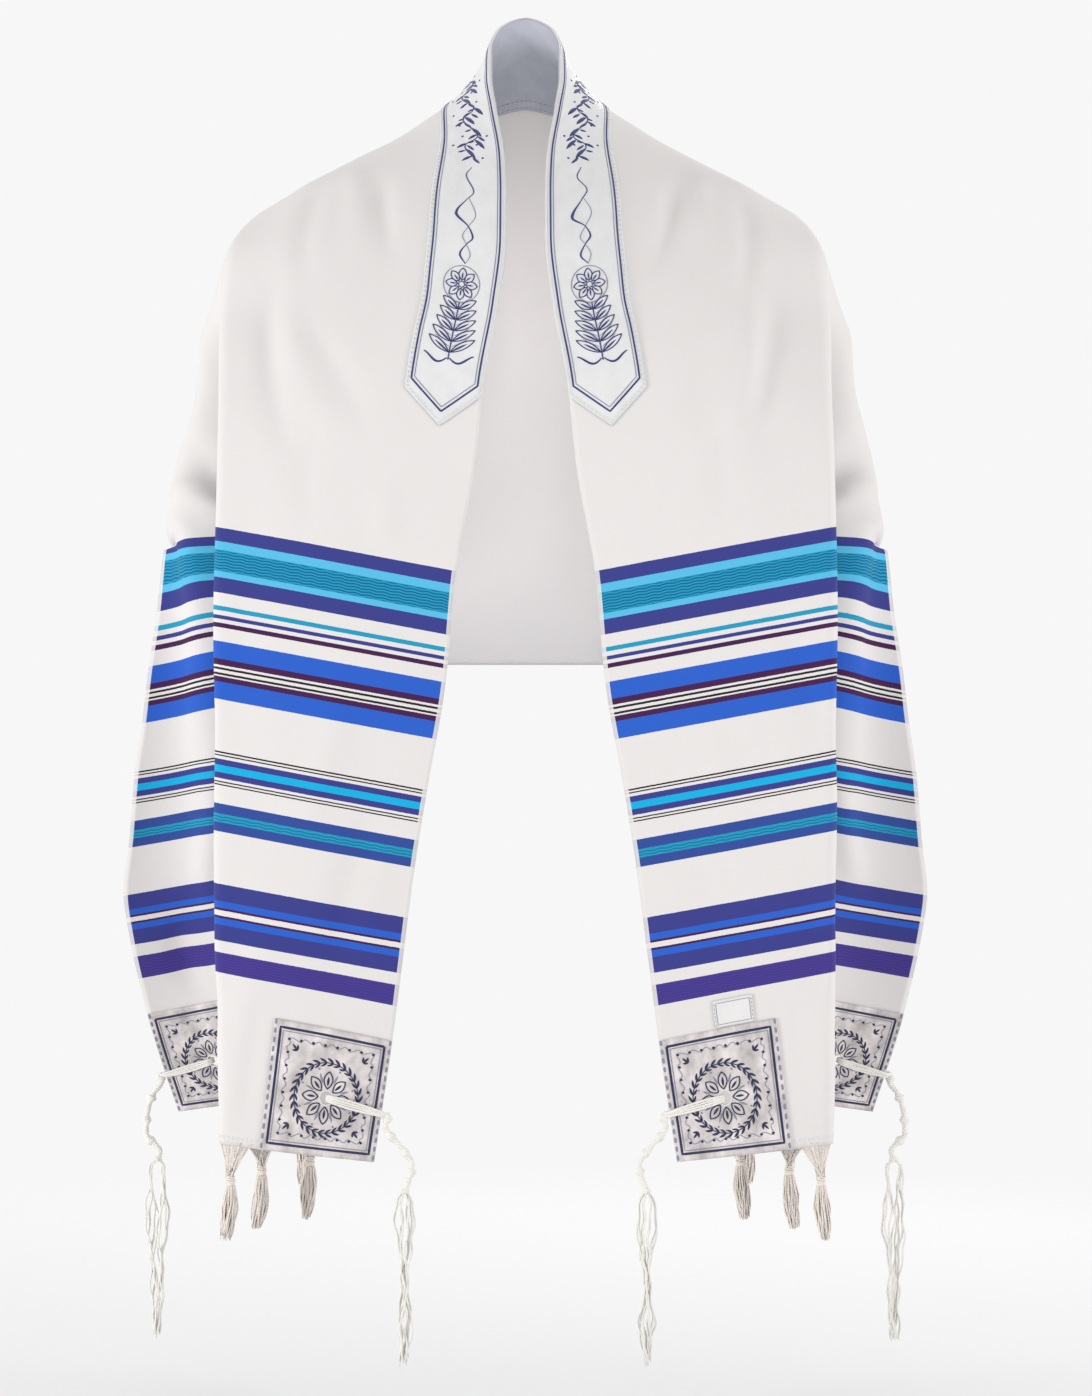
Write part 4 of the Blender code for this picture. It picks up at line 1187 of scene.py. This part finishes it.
def corner_sprigs():
    """Three leaves in each corner of the patch, pointing out along its diagonals."""
    lean = np.array([-0.75, 0.0, 0.75])
    length = np.array([0.0042, 0.0060, 0.0042])
    return [leaves(*polar(0.0345, angle), angle + lean, length, 0.0017)
            for angle in turns(4) + math.pi / 4.0]


def square_corners(half):
    """A square's corners round the middle, the first one again at the end."""
    return [(-half, -half), (half, -half), (half, half), (-half, half), (-half, -half)]


def patch_dots():
    """Small dots along a square inside the frame, a little under 10 mm apart."""
    path = fine_path(square_corners(DOT_SQUARE), DOT_PITCH)
    return leaves(path[:-1, 0] - 0.0012, path[:-1, 1], 0.0, 0.0024, 0.0022)


def patch_scroll():
    """A fine scroll between the dots: a sine of 1.5 mm across the square's sides."""
    step = 0.0012
    path = fine_path(square_corners(DOT_SQUARE), step)
    run = np.arange(len(path)) * step
    out = unit(path) * 0.0015 * np.sin(math.tau * run / DOT_PITCH)[:, None]
    return [((path + out)[None], np.full((1, len(path)), 0.0006))]


def smooth_path(points, count):
    """A path through the points with count places evenly along it, without overshoot."""
    run = run_lengths(points)
    at = np.linspace(0.0, run[-1], count)
    return columns_at(np.column_stack([run, points]), at), at


def lying_strands(sheet, eye, edge_t, turn, lift, radius):
    """Strands drawn flat from the eyelet over the edge, fanned apart by up to two radii.

    They rise out of the eyelet to the lift, run straight in s and t, and close on the turn.
    """
    lane = np.linspace(-1.5, 1.5, 4)[:, None]
    share = np.linspace(0.0, 1.0, 22)[None]
    apart = lane * (0.0010 + 0.0007 * np.sin(math.pi * share ** 0.8))
    s = eye[0] + (math.copysign(HALF_LENGTH - EDGE_UP, eye[0]) - eye[0]) * share + apart
    t = eye[1] + (edge_t - eye[1]) * share
    points, normals = sheet.at(s, t)
    ripple = 0.0004 * np.cos(5.0 * share + 2.0 * lane) * smooth_step(share, 0.1, 0.3)
    height = lift * smooth_step(share, -0.01, 0.10) + ripple * math.copysign(1.0, lift)
    lying = points + height[..., None] * normals
    last = turn + lane[..., None] * 0.0006 * UP
    over = 0.45 * lying[:, -1:] + 0.55 * last + normals[:, -1:] * 0.3 * lift
    path = np.concatenate([lying, over, last], axis=1)
    return sweep(path, sheet.directions(*eye)[0], plied_profile(path, radius))


def plied_profile(path, radius):
    """The profile of laid yarn: r (1 + 0.13 cos(plies (angle - turn))), turning along the path."""
    turn = math.tau * run_lengths(path)[..., None] / (YARN_PLIES * YARN_LAY)
    angle = turns(9)
    reach = radius * (1.0 + 0.13 * np.cos(YARN_PLIES * (angle - turn)))
    return np.stack(polar(reach, angle), axis=-1)


def wound_chain(stem, radius, knot_radius):
    """The knotted chain: windings |sin(pi L / pitch + angle / 2)| round a core, with five knots.

    L is the length along it. At each knot the core swells and the windings tilt to and fro.
    """
    path, run = smooth_path(stem, 300)
    run = run[:, None]
    end = run[-1]
    angle = turns(14)
    centres = end * np.linspace(0.04, 0.98, 5)
    near = np.exp(-((run - centres) / 0.0024) ** 2).sum(axis=1, keepdims=True)
    tilt = near * 1.6 * np.cos(angle + run * 260.0)
    wind = np.abs(np.sin(math.pi * run / 0.0019 + angle / 2.0 + tilt))
    lumps = 1.0 + 0.10 * np.sin(run * 700.0 + 2.0 * angle)
    reach = (radius * 0.92 + (knot_radius - radius) * near) * lumps + 0.00045 * wind - 0.0001
    taper = smooth_step(run, -0.0006, 0.0012) * smooth_step(end - run, -0.0006, 0.0012)
    offsets = np.stack(polar(reach * (0.25 + 0.75 * taper), angle), axis=-1)
    return sweep(path[None], BACK, offsets[None]), path[-1]


def loose_strings(tail, place, sign, radius, seed):
    """Eight wavy strings below the chain, in lanes that open and close as the table says."""
    chance = np.random.default_rng(seed)
    share = np.linspace(0.0, 1.0, 64)
    spread, gap = columns_at(LOOSE[place], share).T
    lane = math.tau * (np.arange(8) + 0.5) / 8.0
    group = np.where(np.arange(8) < 4, -1.0, 1.0)
    length = STRING_LENGTH[place] * (1.0 - 0.06 * chance.random(8))
    phase = chance.random((2, 8, 1)) * math.tau
    begun = smooth_step(share, 0.0, 0.2)
    x = (0.0068 * np.cos(lane)[:, None] * spread + 0.0050 * group[:, None] * gap
         + 0.0011 * np.sin(math.tau * 2.3 * share + phase[0]) * begun
         + 0.0006 * np.sin(math.tau * 6.1 * share + phase[1]) * smooth_step(share, 0.0, 0.1))
    y = (0.0048 * np.sin(lane)[:, None] * spread
         + 0.0009 * np.cos(math.tau * 2.9 * share + phase[1]) * begun)
    z = -length[:, None] * share + 0.002
    path = tail + np.stack([sign * x, y, z], axis=-1)
    ends = 1.0 - 0.55 * smooth_step(share, 0.97, 1.0)
    profile = plied_profile(path, radius) * ends[None, :, None, None]
    return sweep(path, BACK, profile)


def tie_knot(centre, radius, tube, tilt, count):
    """Closed windings round a knot, each a ring tilted to one side or the other."""
    angle = turns(24)
    k = np.arange(count)[:, None]
    level = k - 0.5 * (count - 1)
    lean = tilt * np.where(k % 2 == 0, 1.0, -1.0)
    reach = radius * (1.0 - 0.10 * np.abs(level))
    z = level * tube * 1.5 + lean * reach * np.cos(angle + k * 2.1)
    rings = centre + np.stack([*polar(reach, angle), z], axis=-1)
    return sweep(rings, UP, round_profile(np.full((1, 1), tube), 6), closed=True)


def tassel_parts(sheet, sign, t, sizes, seed):
    """Threads drawn out of the hem to a wound knot, and a bunch of wavy strands below it.

    The web's threads are quadratic curves that sag towards the middle. The strands leave the
    knot in a disc, swell, and close again, each with its own phase and length.
    """
    chance = np.random.default_rng(seed)
    end = sign * HALF_LENGTH
    offset = np.linspace(-TASSEL_SPREAD, TASSEL_SPREAD, sizes.web_threads)
    hem_t = np.clip(t + offset, 0.003, WIDTH - 0.003)
    roots, out = sheet.at(np.full(len(hem_t), end), hem_t)
    along = sheet.directions(end, t)[0] * sign
    middle = roots.mean(axis=0)
    knot = middle - TASSEL_KNOT_DROP * UP
    start = roots - along * 0.003 + out * (0.0004 * chance.standard_normal(len(offset)))[:, None]
    bend = 0.5 * (roots + knot) + (knot - middle) * 0.08 + (middle - roots) * 0.22
    level_spread = 0.0016 * chance.standard_normal((len(offset), 3)) * (RIGHT + BACK)
    goal = knot + level_spread + 0.002 * UP
    f = np.linspace(0.0, 1.0, 9)[None, :, None]
    web = ((1.0 - f) ** 2 * start[:, None] + 2.0 * f * (1.0 - f) * bend[:, None]
           + f ** 2 * goal[:, None])
    thin = 0.00046 * (1.0 - 0.25 * np.abs(2.0 * f[..., 0] - 1.0))
    parts = [sweep(web, along, round_profile(np.broadcast_to(thin, web.shape[:2]), 4))]

    count = sizes.tassel_strands
    share = np.linspace(0.0, 1.0, 12)[None]
    golden = np.arange(count) * GOLDEN_ANGLE
    disc = np.sqrt((np.arange(count) + 0.5) / count)
    swell = np.interp(share, [0.0, 0.08, 0.45, 0.8, 1.0], [0.35, 0.62, 1.0, 0.85, 0.55])
    reach = (TASSEL_LENGTH - TASSEL_KNOT_DROP) * (1.0 - 0.14 * chance.random(count))
    lean = 0.004 * math.sin(seed * 1.7)
    phase = chance.random(count)[:, None] * 6.28
    wave = 0.0007 * np.sin(7.0 * share + phase) * smooth_step(share, 0.1, 0.5)
    x = 0.0058 * (disc * np.cos(golden))[:, None] * swell + wave + lean * share ** 2
    y = 0.0046 * (disc * np.sin(golden))[:, None] * swell + wave
    strands = knot + np.stack([x, y, -reach[:, None] * share - 0.001], axis=-1)
    thin = 0.00052 - 0.00022 * smooth_step(share, 0.85, 1.0)
    parts.append(sweep(strands, BACK,
                       round_profile(np.broadcast_to(thin, strands.shape[:2]), 4)))
    core = knot + np.outer([0.0035, 0.002, -0.002, -0.0045], UP)
    core_radii = np.array([[0.0012, 0.0025, 0.0026, 0.0014]])
    parts.append(sweep(core[None], BACK, round_profile(core_radii, 10)))
    parts.append(tie_knot(knot, 0.0030, 0.0008, tilt=0.22, count=5))
    return parts


def shared(name, make):
    """What make gives, worked out at its first use and kept for all the operators."""
    if name not in SHARED:
        SHARED[name] = make()
    return SHARED[name]


def thread_material(colours, name):
    """The finish of an embroidery thread, named like its colour."""
    return shared(name, lambda: thread_finish(name, getattr(colours, name)))


def panel_lift(sizes):
    """From the sheet's middle to the middle of a panel on it."""
    return 0.5 * sizes.cloth_wall + SEAM_GAP + 0.5 * sizes.panel_wall


def panel_top(sizes):
    """From the sheet's middle to the outer side of a panel on it."""
    return 0.5 * sizes.cloth_wall + SEAM_GAP + sizes.panel_wall


def shawl_of(context):
    """The sizes, colours and hung sheet that the pieces are made from."""
    sizes = context.scene.shawl_sizes
    sheet = shared("sheet", lambda: HungSheet(sizes.crease_factor))
    return sizes, context.scene.shawl_colours, sheet


class SHAWL_OT_cloth(bpy.types.Operator):
    """Makes the striped cloth as one hung sheet, with its four eyelets and hem stitches"""

    bl_idname = "shawl.cloth"
    bl_label = "Striped cloth"

    def execute(self, context):
        sizes, colours, sheet = shawl_of(context)
        part = grid_part(sheet.points, sheet.s[:, None], sheet.t[None])
        piece = piece_from("striped_cloth", [part], cloth_finish(colours))
        add_wall(piece, sizes.cloth_wall)
        places = [eye for place in CHAINS for _, _, eye in corners_of(place)]
        cut_eyelets(piece, sheet, places)
        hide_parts("shawl_cloth")

        top = 0.5 * sizes.cloth_wall
        near, far = PATCH_SIDE + 0.002, WIDTH - PATCH_SIDE - 0.002
        lines = [sign * (HALF_LENGTH - up) for sign, _ in SIDES for up in (0.0045, 0.0058)]
        rows = [dashes([(s, near), (s, far)], STITCH_PITCH, sizes.stitch_length, 0.0006)
                for s in lines]
        [hem] = embroideries(sheet, top, colours,
                             [("hem_stitches", rows, 0.0003, "white_thread")])
        return {"FINISHED"}


class SHAWL_OT_neckband(bpy.types.Operator):
    """Makes the neckband with its two frame lines, vine, zigzag, plumes and edge stitches"""

    bl_idname = "shawl.neckband"
    bl_label = "Neckband"

    def execute(self, context):
        sizes, colours, sheet = shawl_of(context)
        t = np.linspace(0.0, BAND_WIDTH, 25)[None]
        reach = BAND_HALF_LENGTH - BAND_POINT * np.abs(2.0 * t / BAND_WIDTH - 1.0)
        s = np.linspace(-1.0, 1.0, 301)[:, None] * reach
        # The fourth number sets how deep the painted sheen blotches go.
        finish = satin_finish("band_satin", colours.band, 0.5, 0.08, 0.0016)
        piece = sewn_panel("neckband_satin", sheet, s, t, panel_lift(sizes), sizes.panel_wall,
                           finish)
        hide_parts("neckband")

        navy = [line_stroke(band_outline(0.0040, 0.0112), sizes.outline_width)]
        grey = [line_stroke(band_outline(0.0062, 0.0147), 0.0007)]
        middle = 0.5 * BAND_WIDTH
        for sign, _ in SIDES:
            navy += placed(vine_strokes(), sign, 0.1135, middle)
            navy += placed(zigzag_strokes(ZIGZAG_BOLD), sign, 0.0, middle, -sign)
            grey += placed(zigzag_strokes(ZIGZAG_FINE), sign, 0.0, middle, -sign)
            navy += placed(plume_strokes(), sign, 0.2975, middle)
            grey += placed(plume_shades(), sign, 0.2975, middle)
        white = [dashes(band_outline(inset, 1.6 * inset), STITCH_PITCH, sizes.stitch_length,
                        0.0006) for inset in (0.0011, 0.0023)]
        threads = embroideries(sheet, panel_top(sizes), colours, [
            ("neckband_navy_embroidery", navy, 0.00042, "navy_thread"),
            ("neckband_grey_embroidery", grey, 0.00030, "grey_thread"),
            ("neckband_stitches", white, 0.00030, "white_thread")])
        return {"FINISHED"}


class SHAWL_OT_lining(bpy.types.Operator):
    """Makes the satin lining inside the back of the neck and its double row of stitches"""

    bl_idname = "shawl.lining"
    bl_label = "Neck lining"

    def execute(self, context):
        sizes, colours, sheet = shawl_of(context)
        s = np.linspace(-LINING_HALF_LENGTH, LINING_HALF_LENGTH, 81)[:, None]
        t = np.linspace(0.0, LINING_DROP, 31)[None]
        # The fourth number sets how deep the painted sheen blotches go.
        finish = satin_finish("lining_satin", colours.lining, 0.55, 0.16, 0.0014)
        piece = sewn_panel("neck_lining_satin", sheet, s, t, -panel_lift(sizes),
                           sizes.panel_wall, finish)
        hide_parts("neck_lining")
        end = LINING_HALF_LENGTH - 0.003
        rows = [dashes([(-end, LINING_DROP - up), (end, LINING_DROP - up)], 0.0034,
                       sizes.stitch_length, 0.0005) for up in (0.0022, 0.0075)]
        [seam] = embroideries(sheet, -panel_top(sizes), colours,
                              [("neck_lining_stitches", rows, -0.00025, "grey_thread")])
        return {"FINISHED"}


class SHAWL_OT_patches(bpy.types.Operator):
    """Makes the four satin corner patches with frame, dots, scroll, emblem and eyelet ring"""

    bl_idname = "shawl.patches"
    bl_label = "Corner patches"

    def execute(self, context):
        sizes, colours, sheet = shawl_of(context)
        # The fourth number sets how deep the painted sheen blotches go; here they are strongest.
        finish = satin_finish("patch_satin", colours.patch, 0.42, 0.50, 0.0015)
        half = 0.5 * PATCH_SIDE
        for place in CHAINS:
            for hand, sign, eye in corners_of(place):
                name = "corner_patch_%s_%s" % (place, hand)
                low = 0.0 if place == "front" else WIDTH - PATCH_SIDE
                t = np.linspace(low, low + PATCH_SIDE, 41)[None]
                s = sign * np.linspace(HALF_LENGTH - PATCH_SIDE, HALF_LENGTH, 41)[:, None]
                piece = sewn_panel(name + "_satin", sheet, np.sort(s, axis=0), t,
                                   panel_lift(sizes), sizes.panel_wall, finish)
                cut_eyelets(piece, sheet, [eye])
                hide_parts(name)
                flip = 1.0 if place == "front" else -1.0
                at = (sign, HALF_LENGTH - half, low + half, flip)
                eyelet = ((eye[1] - low - half) * flip, abs(eye[0]) - HALF_LENGTH + half)
                emblem, shades = ([(places + eyelet, widths) for places, widths in strokes]
                                  for strokes in (emblem_strokes(), emblem_shades()))
                ink = placed([line_stroke(square_corners(half - 0.0052), PATCH_FRAME_WIDTH),
                              patch_dots()] + emblem + corner_sprigs(), *at)
                edges = [dashes([(side, -half), (side, half)], 0.0064, 0.0038, 0.0020)
                         for side in (half - 0.0014, 0.0014 - half)]
                grey = placed([line_stroke(square_corners(half - 0.0074), 0.0007)] + edges
                              + patch_scroll() + shades, *at)
                white = placed([ring_line(EYELET_RADIUS + 0.0006, 0.0014, 40, eyelet)], *at)
                threads = embroideries(sheet, panel_top(sizes), colours, [
                    (name + "_navy", ink, 0.00042, "ink_thread"),
                    (name + "_grey", grey, 0.00028, "grey_thread"),
                    (name + "_eyelet_ring", white, 0.00055, "white_thread")])
        return {"FINISHED"}


class SHAWL_OT_label(bpy.types.Operator):
    """Makes the bare woven tab above one front patch, with a stitched border"""

    bl_idname = "shawl.label"
    bl_label = "Woven label"

    def execute(self, context):
        sizes, colours, sheet = shawl_of(context)
        bottom = HALF_LENGTH - PATCH_SIDE - 0.0008
        s = -np.linspace(bottom, bottom - LABEL_LENGTH, 13)[:, None]
        t = np.linspace(*LABEL_T, 17)[None]
        # The fourth number sets how deep the painted sheen blotches go.
        finish = satin_finish("label_satin", colours.label, 0.5, 0.06, 0.0012)
        piece = sewn_panel("woven_label_tab", sheet, s, t, panel_lift(sizes), LABEL_WALL,
                           finish)
        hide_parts("woven_label")
        low, high = LABEL_T[0] + 0.0022, LABEL_T[1] - 0.0022
        near, far = -(bottom - 0.0020), -(bottom - LABEL_LENGTH + 0.0022)
        frame_line = [(near, low), (near, high), (far, high), (far, low), (near, low)]
        lines = [line_stroke(frame_line, 0.0005)]
        lines += [dashes([(near - 0.001, t), (far + 0.001, t)], 0.0030, 0.0018, 0.0005)
                  for t in (LABEL_T[0] + 0.0008, LABEL_T[1] - 0.0008)]
        top = panel_lift(sizes) + 0.5 * LABEL_WALL
        [border] = embroideries(sheet, top, colours,
                                [("woven_label_border", lines, 0.00022, "grey_thread")])
        return {"FINISHED"}


class SHAWL_OT_strings(bpy.types.Operator):
    """Makes the strings of the four corners: flat strands, knotted chain and loose ends"""

    bl_idname = "shawl.strings"
    bl_label = "Corner strings"

    def execute(self, context):
        sizes, colours, sheet = shawl_of(context)
        material = thread_finish("string_wool", colours.strings, 0.0011, 0.75, slant=6.28)
        radius = sizes.string_radius
        for number, place in enumerate(CHAINS):
            for hand, sign, eye in corners_of(place):
                name = "corner_strings_%s_%s" % (place, hand)
                edge_t = 0.0 if place == "front" else WIDTH
                edge_s = sign * (HALF_LENGTH - EDGE_UP)
                rim = sheet.at(edge_s, edge_t)[0]
                across = sheet.directions(edge_s, edge_t)[1]
                turn = rim + across * (0.0056 if edge_t > 0.0 else -0.0056)
                lift = 0.5 * sizes.cloth_wall + radius + 2.0 * SEAM_GAP
                over_patch = lift + sizes.panel_wall + 0.0004
                front = lying_strands(sheet, eye, edge_t, turn, over_patch, radius)
                behind = lying_strands(sheet, eye, edge_t, turn, -lift, radius)
                chain = [rim + np.array([sign * x, 0.0, -z]) for x, z in CHAINS[place]]
                wound, tail = wound_chain([turn] + chain, 0.0021, 0.0036)
                seed = 10 * number + int(sign) + 3
                loose = loose_strings(tail, place, sign, radius * 0.92, seed)
                piece = piece_from(name + "_cord", [front, behind, wound, loose], material)
                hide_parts(name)
        return {"FINISHED"}


class SHAWL_OT_tassels(bpy.types.Operator):
    """Makes the eight hem tassels: a web of threads, a wound knot and a bunch of strands"""

    bl_idname = "shawl.tassels"
    bl_label = "Hem tassels"

    def execute(self, context):
        sizes, colours, sheet = shawl_of(context)
        material = thread_finish("tassel_wool", colours.tassels, 0.0013, 0.8, slant=6.28)
        for sign, hand in SIDES:
            for k, t in enumerate(TASSEL_T):
                name = "hem_tassel_%s_%d" % (hand, k + 1)
                parts = tassel_parts(sheet, sign, t, sizes, 7 * k + (3 if sign > 0 else 5))
                piece = piece_from(name + "_threads", parts, material)
                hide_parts(name)
        return {"FINISHED"}


class SHAWL_OT_stage(bpy.types.Operator):
    """Makes the pale floor, the soft studio lights and the camera"""

    bl_idname = "shawl.stage"
    bl_label = "Stage"

    @staticmethod
    def add_lamp(light, place, target):
        """Puts a light at a place, aimed at a target and not itself seen by the camera."""
        lamp = bpy.data.objects.new(light.name, light)
        lamp.location = place
        aim = Vector(target) - Vector(place)
        lamp.rotation_euler = aim.to_track_quat("-Z", "Y").to_euler()
        lamp.visible_camera = False
        bpy.context.scene.collection.objects.link(lamp)

    def execute(self, context):
        colours = context.scene.shawl_colours
        line = np.linspace(-FLOOR_REACH, FLOOR_REACH, 25)
        x, y, z = np.broadcast_arrays(line[None], line[:, None], FLOOR_HEIGHT)
        points = np.stack([x, y, z], axis=-1)
        mesh_object("floor", [grid_part(points, x, y)], floor_finish(colours))

        world = bpy.data.worlds.new("pale_room")
        world.use_nodes = True
        sky = world.node_tree.nodes["Background"]
        sky.inputs["Color"].default_value = (BACKGROUND, BACKGROUND, BACKGROUND, 1.0)
        sky.inputs["Strength"].default_value = 1.0
        context.scene.world = world
        for name, place, size, power in LIGHTS:
            light = bpy.data.lights.new(name, "AREA")
            light.shape = "DISK"
            light.size = size
            light.energy = power
            self.add_lamp(light, place, MIDDLE)
        glow = bpy.data.lights.new("through_the_front", "AREA")
        glow.shape = "RECTANGLE"
        glow.size, glow.size_y = GLOW_SIZE
        glow.energy = GLOW_POWER
        self.add_lamp(glow, GLOW_PLACE, GLOW_TARGET)

        lens = bpy.data.cameras.new("camera")
        lens.lens = LENS
        lens.sensor_width = 36.0
        lens.shift_x = LENS_SHIFT
        camera = bpy.data.objects.new("camera", lens)
        camera.location = CAMERA_PLACE
        camera.rotation_euler = (math.radians(90.0), 0.0, 0.0)
        context.scene.collection.objects.link(camera)
        context.scene.camera = camera
        context.scene.view_settings.view_transform = "Standard"
        return {"FINISHED"}


class SHAWL_PT_panel(bpy.types.Panel):
    """Lists the shawl's pieces and its sizes and colours"""

    bl_idname = "SHAWL_PT_panel"
    bl_label = "Prayer shawl"
    bl_space_type = "VIEW_3D"
    bl_region_type = "UI"
    bl_category = "Shawl"

    def draw(self, context):
        for operator in OPERATORS:
            self.layout.operator(operator.bl_idname)
        for group in (context.scene.shawl_sizes, context.scene.shawl_colours):
            box = self.layout.box()
            for name in group.bl_rna.properties.keys():
                if name not in ("rna_type", "name"):
                    box.prop(group, name)


OPERATORS = (SHAWL_OT_cloth, SHAWL_OT_neckband, SHAWL_OT_lining, SHAWL_OT_patches,
             SHAWL_OT_label, SHAWL_OT_strings, SHAWL_OT_tassels, SHAWL_OT_stage)
CLASSES = (ShawlSizes, ShawlColours) + OPERATORS + (SHAWL_PT_panel,)


def register():
    for item in CLASSES:
        bpy.utils.register_class(item)
    bpy.types.Scene.shawl_sizes = PointerProperty(type=ShawlSizes)
    bpy.types.Scene.shawl_colours = PointerProperty(type=ShawlColours)


def unregister():
    del bpy.types.Scene.shawl_colours
    del bpy.types.Scene.shawl_sizes
    for item in reversed(CLASSES):
        bpy.utils.unregister_class(item)


def main():
    register()
    for operator in OPERATORS:
        area, name = operator.bl_idname.split(".")
        getattr(getattr(bpy.ops, area), name)()


if __name__ == "__main__":
    main()
